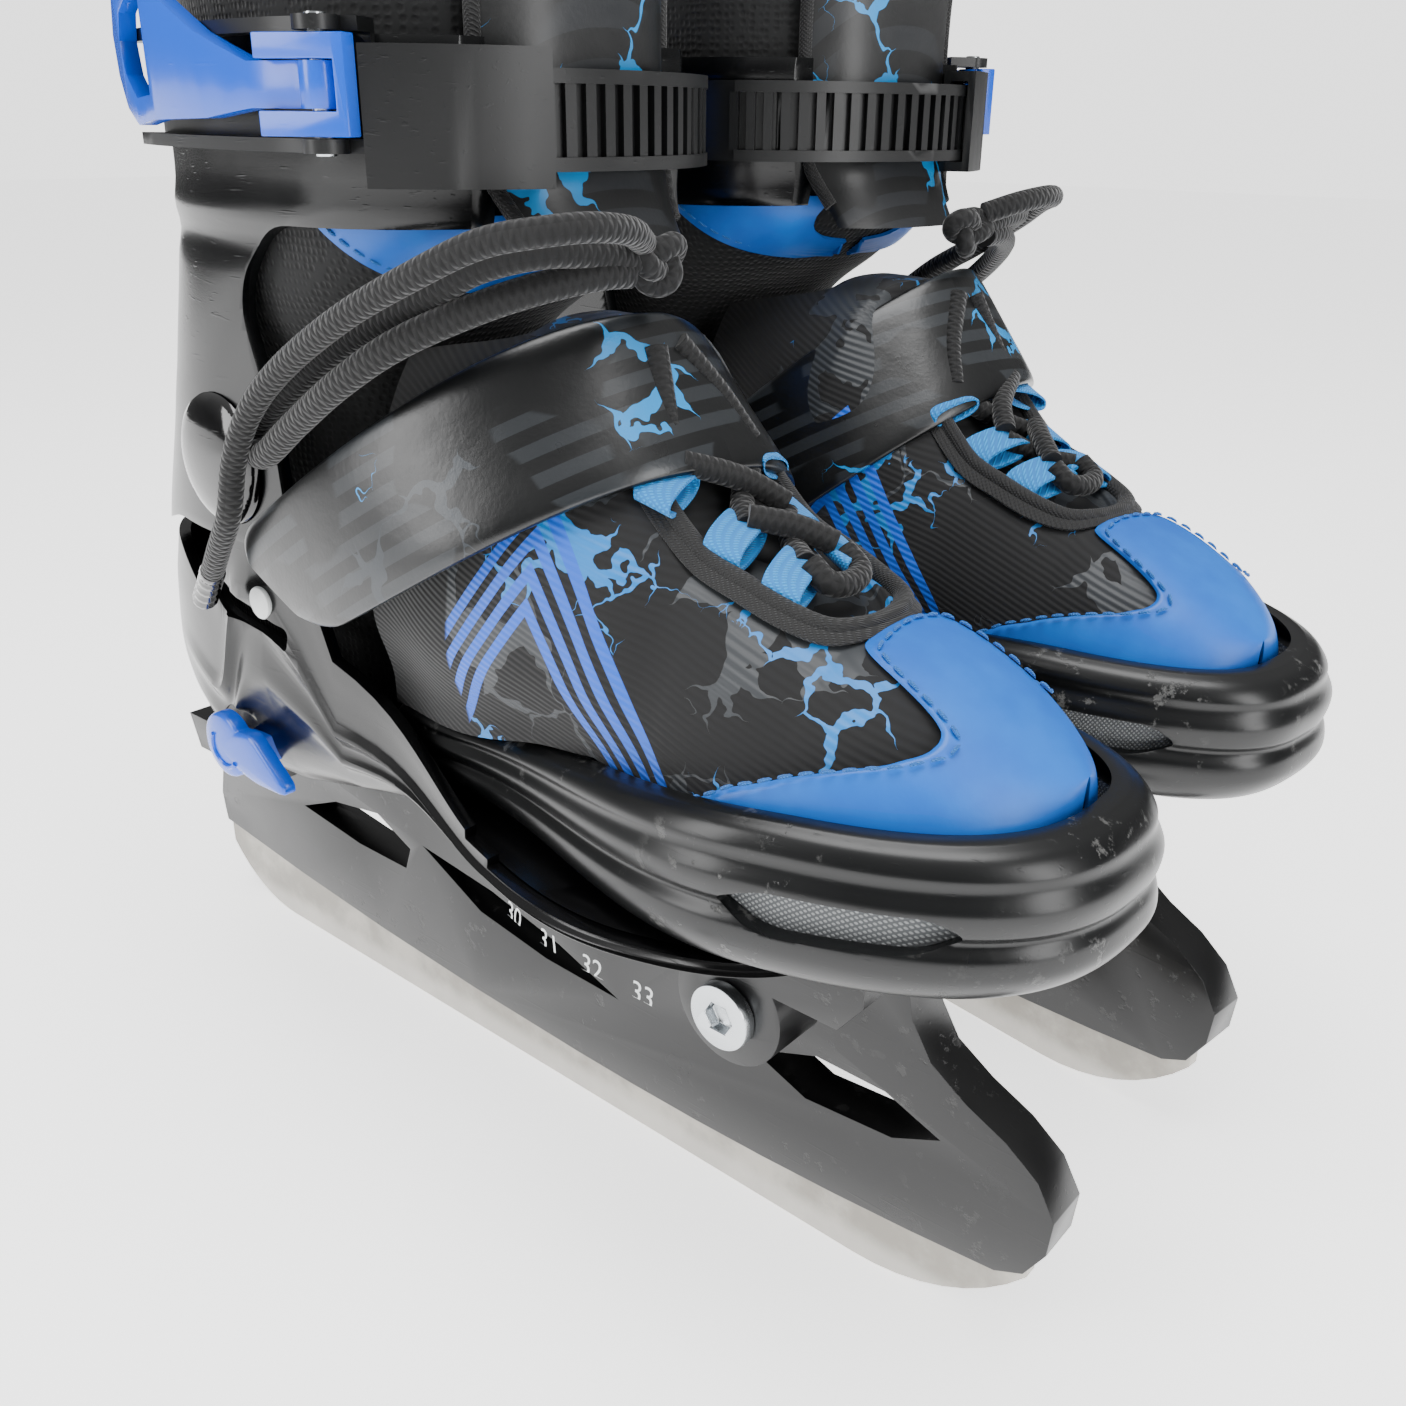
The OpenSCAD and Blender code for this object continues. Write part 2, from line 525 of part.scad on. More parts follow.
// A point beside the leg at the buckle's height: phi runs from -90 at the outer side over 0 at the
// shin to 90 at the inner side, and off is the distance from the cuff's outer face
leg_y = cuff_side(buckle_z);
leg_rear = leg_mid(buckle_z) - leg_back(buckle_z);
leg_ahead = leg_front(buckle_z) - leg_mid(buckle_z);
function leg_point(phi, off) = [leg_mid(buckle_z) + ((cos(phi) < 0 ? leg_rear : leg_ahead) + off) * cos(phi),
    (leg_y + off) * sin(phi)];
// A plan-view band beside the leg from phi a to b, between two distances off and two heights
module band(a, b, d0, d1, z0, z1, step = 4) {
    n = ceil((b - a) / step);
    translate([0, 0, z0]) linear_extrude(z1 - z0) polygon(concat(
        [for (k = [0:n]) leg_point(mix(a, b, k / n), d0)], [for (k = [n:-1:0]) leg_point(mix(a, b, k / n), d1)]));
}
// Ladder strap: toothed round the shin, plain at its inner end
ladder_off = 1.9;
ladder_t = 1.4;
tooth_h = 1.5;
strap_high = strap_low + strap_h;
module ladder_strap() {
    color([0.05, 0.05, 0.06]) {
        band(-50, 104, ladder_off, ladder_off + ladder_t, strap_low, strap_high);
        for (z = [strap_low, strap_high - 2])
            band(-50, 58, ladder_off + ladder_t - eps, ladder_off + ladder_t + tooth_h, z, z + 2);
        for (a = [-48:5:57]) band(a, a + 2.6, ladder_off + ladder_t - eps, ladder_off + ladder_t + tooth_h - 0.3,
            strap_low + 1.9, strap_high - 1.9);
    }
}
module ladder_anchor() {
    color([0, 0.4, 0.85]) {
        band(74, 102, ladder_off + ladder_t + 0.1, ladder_off + ladder_t + 1.6, buckle_z - 6, buckle_z + 7);
        translate([leg_point(96, 0)[0], leg_y + ladder_off + ladder_t + 0.9, buckle_z]) rotate([-90, 0, 0])
            cylinder(h = 2.2, r = 4);
    }
}

// Buckle. The lever and the pawl turn on one upright pin at the outer side, in a frame whose
// x runs forward along the strap
hinge_phi = -69;
hinge = leg_point(hinge_phi, 7.4);
hinge_turn = atan2(leg_point(hinge_phi + 1, 0)[1] - leg_point(hinge_phi - 1, 0)[1],
    leg_point(hinge_phi + 1, 0)[0] - leg_point(hinge_phi - 1, 0)[0]);
hinge_low = buckle_z - 4.6;
hinge_high = buckle_z + 13;
cheek_t = 1.9;
base_phi = -130;
module at_hinge(z) { translate([hinge[0], hinge[1], z]) rotate([0, 0, hinge_turn]) children(); }
sleeve_t = 1.5;
module buckle_base() {
    over = ladder_off + ladder_t + tooth_h + 0.4;
    under = ladder_off - 0.2;
    color([0.06, 0.06, 0.07]) difference() {
        union() {
            band(base_phi, hinge_phi + 8, under - sleeve_t, under, hinge_low, hinge_high);
            for (z = [hinge_low, hinge_high - cheek_t]) {
                band(base_phi + 2, hinge_phi + 8, under - eps, over + 0.6, z, z + cheek_t);
                at_hinge(z) cylinder(h = cheek_t, r = 3.2);
            }
            band(hinge_phi + 6, -22, under - sleeve_t, under, strap_low - 2.2, strap_high + 2.6);
            band(hinge_phi + 8, -22, over, over + sleeve_t, strap_low - 2.2, strap_high + 2.6);
            for (z = [strap_low - 2.2, strap_high + 0.7])
                band(hinge_phi + 8, -22, under - eps, over + eps, z, z + 1.9);
        }
        at_hinge(hinge_low - 5) cylinder(h = 40, r = pin_r + 0.03);
    }
}
module buckle_pin() {
    color("silver") at_hinge(hinge_low - 0.4) cylinder(h = hinge_high - hinge_low + 0.8, r = pin_r);
}
// Lever: hinged in front, with a finger loop at its free end behind the leg
lever_low = hinge_low + 5.8;
lever_high = hinge_high - 5.7;
lever_t = 3;
module lever_profile() {
    polygon([[60, lever_low], [hinge[0] - 11, lever_low], [-18, hinge_low + 4.4], [-37, buckle_z - 0.6], [-45, buckle_z - 1.5],
        [-50.5, buckle_z + 1], [-54.3, buckle_z + 6], [-55.2, buckle_z + 12], [-52.5, buckle_z + 18], [-46, buckle_z + 21],
        [-37, buckle_z + 20.5], [-29, buckle_z + 16], [-19, hinge_high - 1.5], [hinge[0] - 11, lever_high], [60, lever_high]]);
}
module buckle_lever() {
    color([0, 0.4, 0.85]) difference() {
        union() {
            intersection() {
                band(-140, hinge_phi - 1, 6, 6 + lever_t, 150, 240);
                rotate([90, 0, 0]) linear_extrude(80) lever_profile();
            }
            at_hinge(lever_low) cylinder(h = lever_high - lever_low, r = 2.9);
        }
        at_hinge(lever_low - 5) cylinder(h = 40, r = pin_r + run_gap);
        rotate([90, 0, 0]) linear_extrude(80) polygon([[-37.5, buckle_z + 3], [-44, buckle_z + 2.5], [-49, buckle_z + 6],
            [-50.5, buckle_z + 11], [-48.5, buckle_z + 15], [-43.5, buckle_z + 17], [-37.5, buckle_z + 16.5]]);
    }
}
// Release pawl: two finger tabs beside the lever, joined by a bar that drops into the ladder
module buckle_pawl() {
    tab = 3.3;
    color([0, 0.4, 0.85]) difference() {
        union() {
            for (z = [hinge_low + cheek_t + 0.3, hinge_high - cheek_t - 0.3 - tab]) {
                at_hinge(z) cylinder(h = tab, r = 2.9);
                at_hinge(z) translate([-8.5, -2.9, 0]) cube([8.5, 3.4, tab]);
                at_hinge(z) translate([0, -2.9, 0]) cube([5.4, 2.9, tab]);
            }
            at_hinge(hinge_low + cheek_t + 0.3) translate([3.6, -2.9, 0])
                cube([1.8, 3.4, hinge_high - hinge_low - 2 * cheek_t - 0.6]);
        }
        at_hinge(hinge_low - 5) cylinder(h = 40, r = pin_r + run_gap);
    }
}

// Lace bow: a round cord along these points, round the outer side of the ankle and back to its knot
knot = [35.8, -5, 170.6];
bow_pts = [[35.5, -10, 170.6], [34.5, -18, 172.5], [32, -26, 172.8], [25, -32, 170.5], [16, -35, 165.4],
    [1, -38, 158.5], [-12, -39.6, 150.4], [-22, -39.6, 144], [-25.5, -40, 139.8], [-19, -41.5, 138.6], [-8, -42, 145.4],
    [5, -41.6, 153.6], [16, -38, 160.4], [27, -29, 166.2], [34, -18, 169.2], [35.6, -11, 169.4]];
module lace() {
    color([0.03, 0.03, 0.03]) {
        rope(bow_pts, lace_r, 8);
        translate(knot) sphere(r = 4.2);
    }
}

// The left skate: the right one's mirror, beside it and toed in
module left_pose() { translate([0, pair_gap, 0]) rotate([0, 0, -toe_in]) mirror([0, 1, 0]) children(); }
// Draws one part of both skates, or of the one that node names
module pair(part) {
    children();
    left_pose() children();
}

pair("runner") runner();
pair("blade_holder") blade_holder();
pair("front_bolt") front_bolt();
pair("bolt_sleeve") bolt_sleeve();
pair("heel_screw") heel_screw();
pair("heel_shell") heel_shell();
pair("footbed") footbed();
pair("boot_quarter") boot_quarter();
pair("strap_rivets") strap_rivets();
pair("pivot_bushes") pivot_bushes();
pair("lace") lace();
pair("ladder_anchor") ladder_anchor();
pair("toe_shell") toe_shell();
pair("toe_cap") toe_cap();
pair("vent_mesh") vent_mesh();
pair("vamp") vamp();
pair("lace_loops") lace_loops();
pair("toe_slider") toe_slider();
pair("size_button") size_button();
pair("button_spring") button_spring();
pair("instep_strap") instep_strap();
pair("cuff") cuff();
pair("collar") collar();
pair("ankle_rivets") ankle_rivets();
pair("tongue") tongue();
pair("buckle_base") buckle_base();
pair("buckle_pin") buckle_pin();
pair("buckle_lever") buckle_lever();
pair("buckle_pawl") buckle_pawl();
pair("ladder_strap") ladder_strap();
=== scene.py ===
# %% [markdown]
# # A pair of adjustable ice skates
# A child's ice skate that grows with the foot: a hard shell on a steel runner, a soft laced boot inside
# it, and a hinged cuff closed by a ratchet buckle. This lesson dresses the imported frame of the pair.
# Every piece is made once, for the right skate, and the left one is its mirror, toed in by some degrees.

# %% Loading the frame
import math

import bmesh
import bpy
import numpy as np
from mathutils import Matrix, Vector


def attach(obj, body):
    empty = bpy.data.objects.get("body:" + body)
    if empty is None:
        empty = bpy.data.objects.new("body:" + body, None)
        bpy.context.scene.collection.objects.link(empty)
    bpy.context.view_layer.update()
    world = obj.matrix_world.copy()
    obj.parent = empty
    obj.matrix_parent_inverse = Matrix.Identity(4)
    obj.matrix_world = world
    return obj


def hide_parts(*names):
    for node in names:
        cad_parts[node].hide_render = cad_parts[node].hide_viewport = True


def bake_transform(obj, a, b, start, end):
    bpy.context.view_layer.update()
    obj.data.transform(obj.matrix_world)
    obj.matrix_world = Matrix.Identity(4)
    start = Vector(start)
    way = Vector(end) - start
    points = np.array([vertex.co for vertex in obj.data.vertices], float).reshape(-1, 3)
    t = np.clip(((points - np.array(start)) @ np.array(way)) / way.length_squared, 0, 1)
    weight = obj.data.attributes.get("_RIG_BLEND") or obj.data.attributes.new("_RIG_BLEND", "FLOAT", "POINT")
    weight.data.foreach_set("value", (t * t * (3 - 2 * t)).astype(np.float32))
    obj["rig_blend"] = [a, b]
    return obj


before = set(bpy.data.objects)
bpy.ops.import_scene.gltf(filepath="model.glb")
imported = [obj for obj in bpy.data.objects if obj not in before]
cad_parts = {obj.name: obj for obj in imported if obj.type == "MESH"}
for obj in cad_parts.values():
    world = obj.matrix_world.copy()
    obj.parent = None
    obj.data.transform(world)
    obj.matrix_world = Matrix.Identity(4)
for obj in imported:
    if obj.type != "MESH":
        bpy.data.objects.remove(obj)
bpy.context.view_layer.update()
MM = 0.001

# %% [markdown]
# ## The viewpoint
# A normal lens a quarter of a metre from the toes makes the near skate loom. The camera is turned by its
# three axes, written out as a matrix, because its small roll is easiest to keep that way.

# %% Camera
CAMERA_AT = (0.1803, -0.1646, 0.1910)
CAMERA_RIGHT = (0.7617, 0.6478, 0.0103)
CAMERA_UP = (-0.2640, 0.2960, 0.9179)
camera_data = bpy.data.cameras.new("camera")
camera_data.lens = 34.87
camera_data.sensor_width = 36
camera_data.clip_start = 0.01
camera = bpy.data.objects.new("camera", camera_data)
bpy.context.scene.collection.objects.link(camera)
right = Vector(CAMERA_RIGHT).normalized()
up = (Vector(CAMERA_UP) - right * right.dot(Vector(CAMERA_UP))).normalized()
turn = Matrix((right, up, right.cross(up))).transposed()
camera.matrix_world = Matrix.Translation(CAMERA_AT) @ turn.to_4x4()
bpy.context.scene.camera = camera

# %% [markdown]
# ## Grids, lofts and pairs
# Most shells here are lofts: a closed outline that changes its size as it climbs. One function turns an
# array of rows of points into a mesh. Others apply the modifiers, and one finishes a piece: it remembers each
# point's place on the right skate for the patterns to follow, and makes the left skate's mirrored copy.

# %% Making meshes from arrays
def mix(a, b, t):
    """The value a share t of the way from a to b."""
    return a + (b - a) * t


def ease(a, b, x):
    """0 before a, 1 after b, and three t squared less two t cubed between them."""
    t = np.clip((np.asarray(x, float) - a) / (b - a), 0, 1)
    return t * t * (3 - 2 * t)


def signed_power(v, p):
    """The power p of the size of v, with v's own sign: it squares off a circle."""
    return np.sign(v) * np.abs(v) ** p


def hump(x, centre, width):
    """A bell: e to the minus of the square of the distance from the centre, in widths."""
    return np.exp(-(((x - centre) / width) ** 2))


def through(points, count):
    """A Catmull-Rom curve through rows of numbers, sampled evenly in its parameter."""
    p = np.asarray(points, float)
    p = np.vstack([2 * p[0] - p[1], p, 2 * p[-1] - p[-2]])
    t = np.linspace(0, len(p) - 3 - 1e-9, count)
    i = t.astype(int)
    f = (t - i)[:, None]
    a, b, c, d = p[i], p[i + 1], p[i + 2], p[i + 3]
    return 0.5 * (2 * b + (c - a) * f + (2 * a - 5 * b + 4 * c - d) * f**2 + (3 * b - a - 3 * c + d) * f**3)


def evenly(points, step):
    """The same line with its points a step apart along its length."""
    run = np.concatenate([[0], np.cumsum(np.linalg.norm(np.diff(points, axis=0), axis=1))])
    at = np.linspace(0, run[-1], max(2, int(round(run[-1] / step)) + 1))
    return np.stack([np.interp(at, run, points[:, k]) for k in range(points.shape[1])], axis=1)


def unit(v):
    """Rows of vectors, each cut to a length of one."""
    return v / np.maximum(np.linalg.norm(v, axis=-1, keepdims=True), 1e-12)


def grid(name, points, around=False, along=False, ends=False):
    """A mesh of four-sided faces over an array of rows and columns of points in millimetres.
    around joins the last column to the first, along the last row to the first, and ends caps both."""
    points = np.asarray(points, float)
    rows, columns = points.shape[:2]
    index = np.arange(rows * columns).reshape(rows, columns)
    a = index if along else index[:-1]
    b = np.roll(index, -1, axis=0) if along else index[1:]
    if not around:
        quads = np.stack([a[:, :-1], b[:, :-1], b[:, 1:], a[:, 1:]], axis=-1).reshape(-1, 4)
    else:
        a2, b2 = np.roll(a, -1, axis=1), np.roll(b, -1, axis=1)
        quads = np.stack([a, b, b2, a2], axis=-1).reshape(-1, 4)
    faces = quads.tolist()
    if ends:
        faces += [index[0].tolist(), index[-1][::-1].tolist()]
    mesh = bpy.data.meshes.new(name)
    mesh.from_pydata((points.reshape(-1, 3) * MM).tolist(), [], faces)
    return linked(name, mesh)


def linked(name, mesh):
    """An object for a mesh, with its doubles merged and every face turned outwards."""
    work = bmesh.new()
    work.from_mesh(mesh)
    bmesh.ops.remove_doubles(work, verts=work.verts, dist=0.00001)
    bmesh.ops.recalc_face_normals(work, faces=work.faces)
    work.to_mesh(mesh)
    work.free()
    piece = bpy.data.objects.new(name, mesh)
    bpy.context.scene.collection.objects.link(piece)
    return piece


def prism(name, outline, y0, y1):
    """A side-view outline, (x, z) in millimetres, carried straight across from y0 to y1."""
    outline = np.asarray(outline, float)
    flat = np.stack([outline[:, 0], np.zeros(len(outline)), outline[:, 1]], axis=1)
    return grid(name, [flat + [0, y0, 0], flat + [0, y1, 0]], around=True, ends=True)


def circles(path, radius, sides):
    """Circles in the planes across a path. Their first point's direction is carried along by projection."""
    path = np.asarray(path, float)
    tangent = unit(np.gradient(path, axis=0))
    across = np.empty_like(path)
    side = np.cross(tangent[0], [0.3, 0.1, 1.0])
    for i, t in enumerate(tangent):
        side = side - t * side.dot(t)
        side = side / np.linalg.norm(side)
        across[i] = side
    other = np.cross(tangent, across)
    angle = np.linspace(0, 2 * math.pi, sides, endpoint=False)
    size = np.broadcast_to(np.asarray(radius, float), (len(path),))[:, None, None]
    ring = np.cos(angle)[None, :, None] * across[:, None] + np.sin(angle)[None, :, None] * other[:, None]
    return path[:, None] + size * ring


def tube(name, path, radius, sides=14):
    """A round rod, closed at both ends, along a path."""
    return grid(name, circles(path, radius, sides), around=True, ends=True)


def cut(piece, *cutters):
    """Takes the cutters' shapes out of a piece, and removes the cutters."""
    for cutter in cutters:
        modifier = piece.modifiers.new("cut", "BOOLEAN")
        modifier.operation = "DIFFERENCE"
        modifier.solver = "EXACT"
        modifier.object = cutter
    settle(piece)
    for cutter in cutters:
        bpy.data.objects.remove(cutter)
    return piece


def settle(piece):
    """Applies every modifier by taking the evaluated mesh."""
    seen = piece.evaluated_get(bpy.context.evaluated_depsgraph_get())
    mesh = bpy.data.meshes.new_from_object(seen)
    piece.modifiers.clear()
    piece.data = mesh
    return piece


def rounded(piece, width, segments=2, angle=35):
    """A bevel of some millimetres on every edge sharper than an angle."""
    modifier = piece.modifiers.new("edge", "BEVEL")
    modifier.width = width * MM
    modifier.segments = segments
    modifier.limit_method = "ANGLE"
    modifier.angle_limit = math.radians(angle)
    modifier.use_clamp_overlap = True
    return settle(piece)


# %% [markdown]
# ## The mirror
# The left skate is the right one turned over its middle plane, set beside it and toed in. The same 4 by 4
# matrix does all of it, and the faces are flipped back afterwards because a mirror turns them inside out.

# %% Placing a piece on both skates
PAIR_GAP = 86
TOE_IN = math.radians(8)
TO_LEFT = (Matrix.Translation((0, PAIR_GAP * MM, 0)) @ Matrix.Rotation(-TOE_IN, 4, "Z")
           @ Matrix.Scale(-1, 4, (0, 1, 0)))


def remember_place(mesh):
    """Stores each point's place on the right skate as the attribute named place."""
    flat = np.zeros(len(mesh.vertices) * 3, np.float32)
    mesh.vertices.foreach_get("co", flat)
    place = mesh.attributes.get("place") or mesh.attributes.new("place", "FLOAT_VECTOR", "POINT")
    place.data.foreach_set("vector", flat)


def both(piece, body, finish, slot, nodes=(), sharp=38, blend=None):
    """Finishes a piece of the right skate and makes the left one. blend is (second body, start, end)."""
    mesh = piece.data
    remember_place(mesh)
    mesh.materials.clear()
    mesh.materials.append(finish)
    mesh.polygons.foreach_set("use_smooth", [True] * len(mesh.polygons))
    mesh.set_sharp_from_angle(angle=math.radians(sharp))
    name = piece.name
    piece.name = "right_" + name + "_look"
    twin = bpy.data.objects.new("left_" + name + "_look", mesh.copy())
    bpy.context.scene.collection.objects.link(twin)
    twin.data.transform(TO_LEFT)
    twin.data.flip_normals()
    for side, one, move in (("right", piece, Matrix.Identity(4)), ("left", twin, TO_LEFT)):
        if blend:
            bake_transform(one, f"{side}_{body}", f"{side}_{blend[0]}",
                     start=move @ (Vector(blend[1]) * MM), end=move @ (Vector(blend[2]) * MM))
        else:
            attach(one, f"{side}_{body}")
        if nodes:
            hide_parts(*[f"{side}_{node}" for node in nodes])
    print(name, len(mesh.polygons), "faces")
    return piece, twin


SAME_POINT = 0.00002


def dressed(node, body, finish, slot, bevel=0.35, sharp=38):
    """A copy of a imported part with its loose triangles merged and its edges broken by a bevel."""
    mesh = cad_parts["right_" + node].data.copy()
    mesh.materials.clear()
    for name in [a.name for a in mesh.attributes if a.name.startswith("custom_normal")]:
        mesh.attributes.remove(mesh.attributes[name])
    work = bmesh.new()
    work.from_mesh(mesh)
    bmesh.ops.remove_doubles(work, verts=work.verts, dist=SAME_POINT)
    bmesh.ops.dissolve_limit(work, angle_limit=math.radians(1), verts=work.verts, edges=work.edges)
    work.to_mesh(mesh)
    work.free()
    piece = bpy.data.objects.new(node, mesh)
    bpy.context.scene.collection.objects.link(piece)
    if bevel:
        rounded(piece, bevel)
    return both(piece, body, finish, slot, [node], sharp)


# %% [markdown]
# ## Finishes
# A material is a recipe of nodes. One function adds a node, sets its values and links what flows into it.
# Colours are written as the sRGB values that an eye would pick, and turned linear once.

# %% Adding nodes
def tint(hex_value):
    """An sRGB hex colour as linear red, green, blue and alpha."""
    channels = np.array([int(hex_value[k:k + 2], 16) / 255 for k in (1, 3, 5)])
    linear = np.where(channels <= 0.04045, channels / 12.92, ((channels + 0.055) / 1.055) ** 2.4)
    return (*linear.tolist(), 1.0)


class Finish:
    """A Principled material with the node tree open for adding to."""

    def __init__(self, name, colour, roughness, metallic=0.0, **sockets):
        self.material = bpy.data.materials.new(name)
        self.material.use_nodes = True
        self.tree = self.material.node_tree
        self.shader = self.tree.nodes["Principled BSDF"]
        self.set("Base Color", tint(colour))
        self.set("Roughness", roughness)
        self.set("Metallic", metallic)
        for socket, value in sockets.items():
            self.set(socket.replace("_", " "), value)
        self.place = self.add("ShaderNodeAttribute", attribute_name="place").outputs["Vector"]

    def set(self, socket, value):
        """Sets one of the shader's own sockets."""
        self.shader.inputs[socket].default_value = value

    def add(self, kind, inputs=None, **settings):
        """A node with its settings, and its inputs set or linked."""
        node = self.tree.nodes.new(kind)
        for key, value in settings.items():
            setattr(node, key, value)
        for key, value in (inputs or {}).items():
            socket = node.inputs[key]
            if isinstance(value, bpy.types.NodeSocket):
                self.tree.links.new(value, socket)
            else:
                socket.default_value = value
        return node

    def math(self, operation, *values, clamp=False):
        """A Math node's result."""
        return self.add("ShaderNodeMath", dict(enumerate(values)), operation=operation,
                        use_clamp=clamp).outputs[0]

    def noise(self, scale, detail=2.0, roughness=0.5, vector=None, distortion=0.0):
        """Noise, whose scale is in features to the metre."""
        return self.add("ShaderNodeTexNoise", {
            "Vector": vector or self.place, "Scale": scale, "Detail": detail, "Roughness": roughness,
            "Distortion": distortion}).outputs["Fac"]

    def step(self, value, low, high):
        """0 below low, 1 above high."""
        return self.add("ShaderNodeMapRange", {
            "Value": value, "From Min": low, "From Max": high}, interpolation_type="SMOOTHSTEP").outputs[0]

    def paint(self, mask, under, over):
        """The under colour, or over where the mask is 1."""
        return self.add("ShaderNodeMix", {
            "Factor": mask, 6: under if isinstance(under, bpy.types.NodeSocket) else tint(under),
            7: over if isinstance(over, bpy.types.NodeSocket) else tint(over)},
            data_type="RGBA").outputs[2]

    def join(self, socket, value):
        """Links a value into the shader."""
        self.tree.links.new(value, self.shader.inputs[socket])

    def span(self, value, low, high):
        """A value from 0 to 1 spread between low and high."""
        return self.add("ShaderNodeMapRange", {"Value": value, "To Min": low, "To Max": high}).outputs[0]

    def bump(self, height, depth):
        """Raises the surface by depth, in millimetres, where height is 1."""
        node = self.add("ShaderNodeBump", {"Height": height, "Distance": depth * MM, "Strength": 1.0})
        last = self.shader.inputs["Normal"]
        if last.is_linked:
            self.tree.links.new(last.links[0].from_socket, node.inputs["Normal"])
        self.tree.links.new(node.outputs[0], last)

    def axis(self, name, vector=None):
        """One coordinate of the place, in metres."""
        split = self.add("ShaderNodeSeparateXYZ", {0: vector or self.place})
        return split.outputs["XYZ".index(name)]


# %% [markdown]
# ### Moulded plastics
# The shell and cuff are injection-moulded polypropylene: black, with a soft gloss where the mould was
# polished, faint flow marks and fine scratches from use. The holder is glass-filled nylon, a shade duller.

# %% Plastics
def moulded(name, colour, roughness, scuff=0.0, coat=0.0, wander=0.07):
    """A moulded plastic with flow marks, hairline scratches and, where asked, pale scuffs."""
    f = Finish(name, colour, roughness, IOR=1.49, Coat_Weight=coat, Coat_Roughness=0.12)
    flow = f.noise(60, 3)
    f.join("Roughness", f.span(flow, roughness - wander, roughness + wander))
    stretch = f.add("ShaderNodeMapping", {"Vector": f.place, "Rotation": (0.4, 0.9, 0.3),
                                          "Scale": (60, 900, 1400)}).outputs[0]
    hair = f.add("ShaderNodeTexNoise", {"Vector": stretch, "Scale": 1.0, "Detail": 2.0}).outputs["Fac"]
    f.bump(f.step(hair, 0.62, 0.75), 0.012)
    f.bump(f.noise(2600, 1), 0.004)
    if scuff:
        rub = f.math("MULTIPLY", f.step(f.noise(260, 6, 0.7), 0.57, 0.66), f.step(f.noise(45, 2), 0.44, 0.6))
        f.join("Base Color", f.paint(f.math("MULTIPLY", rub, scuff), colour, "#6c6c6a"))
        f.bump(rub, -0.05)
    return f.material


SHELL = moulded("polypropylene_black_polished", "#050506", 0.24, wander=0.06)
CUFF = moulded("polypropylene_black_satin", "#050607", 0.22, wander=0.07)
BUMPER = moulded("polyurethane_black_scuffed", "#08090a", 0.3, scuff=0.55)
NYLON = moulded("glass_filled_nylon_black", "#060607", 0.3, scuff=0.12)
RATCHET = moulded("acetal_black_matt", "#08090a", 0.38)
GLOSS = moulded("abs_black_gloss", "#060607", 0.08, coat=0.6, wander=0.03)
BLUE = moulded("acetal_blue_gloss", "#0252cf", 0.24, coat=0.25, wander=0.05)
WHITE = moulded("acetal_white", "#d9dcdc", 0.35)

# %% [markdown]
# ### Metals
# The runner is tempered stainless steel with a dull tumbled skin, stained where ice water dried on it. Its
# edge is ground bright. The cross bolt is zinc plated and shows the turned rings of its head.

# %% Metals
def runner_steel():
    """Dull grey steel: cloudy stains, fine lengthwise grinding and a brighter ground edge."""
    f = Finish("stainless_steel_tumbled", "#a8a49c", 0.44, metallic=0.8)
    stain = f.noise(55, 5, 0.62)
    edge = f.step(f.axis("Z"), 0.0075, 0.003)
    worn = f.paint(f.step(stain, 0.38, 0.66), "#97938b", "#b8b4ac")
    f.join("Base Color", f.paint(f.math("MULTIPLY", edge, 0.6), worn, "#cfccc6"))
    f.join("Roughness", f.span(stain, 0.36, 0.56))
    lines = f.add("ShaderNodeMapping", {"Vector": f.place, "Scale": (40, 1, 2400)}).outputs[0]
    f.bump(f.add("ShaderNodeTexNoise", {"Vector": lines, "Scale": 1.0, "Detail": 3.0}).outputs["Fac"], 0.02)
    f.bump(f.noise(900, 3), 0.015)
    return f.material


def bright_steel(name, colour="#c9cdd0", roughness=0.22):
    """Zinc plating: bright, slightly blue, with a fine unevenness."""
    f = Finish(name, colour, roughness, metallic=1.0)
    f.join("Roughness", f.span(f.noise(500, 3), roughness - 0.07, roughness + 0.12))
    f.bump(f.noise(1500, 2), 0.01)
    return f.material


STEEL = runner_steel()
ZINC = bright_steel("zinc_plated_steel")
SPRING = bright_steel("spring_steel", "#a8abad", 0.3)

# %% [markdown]
# ### Printed cloth
# The forefoot is a ribbed black cloth printed with grey and blue splashes that branch like frost, and with a
# plain folded stripe of four lines. Splashes come from the thin places of a bent noise, cut by a broad one.

# %% Cloths
def branches(f, scale, width, cover, seed):
    """A mask of branching splashes: the band where a bent noise is near a half, inside broad patches."""
    moved = f.add("ShaderNodeMapping", {"Vector": f.place, "Location": (seed, seed * 0.7, -seed)}).outputs[0]
    wobble = f.add("ShaderNodeTexNoise", {"Vector": moved, "Scale": scale * 3.0,
                                          "Detail": 2.0}).outputs["Color"]
    bent = f.add("ShaderNodeVectorMath", {0: wobble, 1: (0.009, 0.009, 0.009), 2: moved},
                 operation="MULTIPLY_ADD").outputs[0]
    line = f.add("ShaderNodeTexVoronoi", {"Vector": bent, "Scale": scale * 1.7},
                 feature="DISTANCE_TO_EDGE").outputs["Distance"]
    patch = f.noise(scale * 0.7, 1, 0.5, moved)
    thick = f.math("MULTIPLY", f.step(patch, 1 - cover, 1 - cover + 0.2), width * 3.2)
    return f.math("MULTIPLY", f.math("LESS_THAN", line, thick), f.math("GREATER_THAN", patch, 1 - cover))


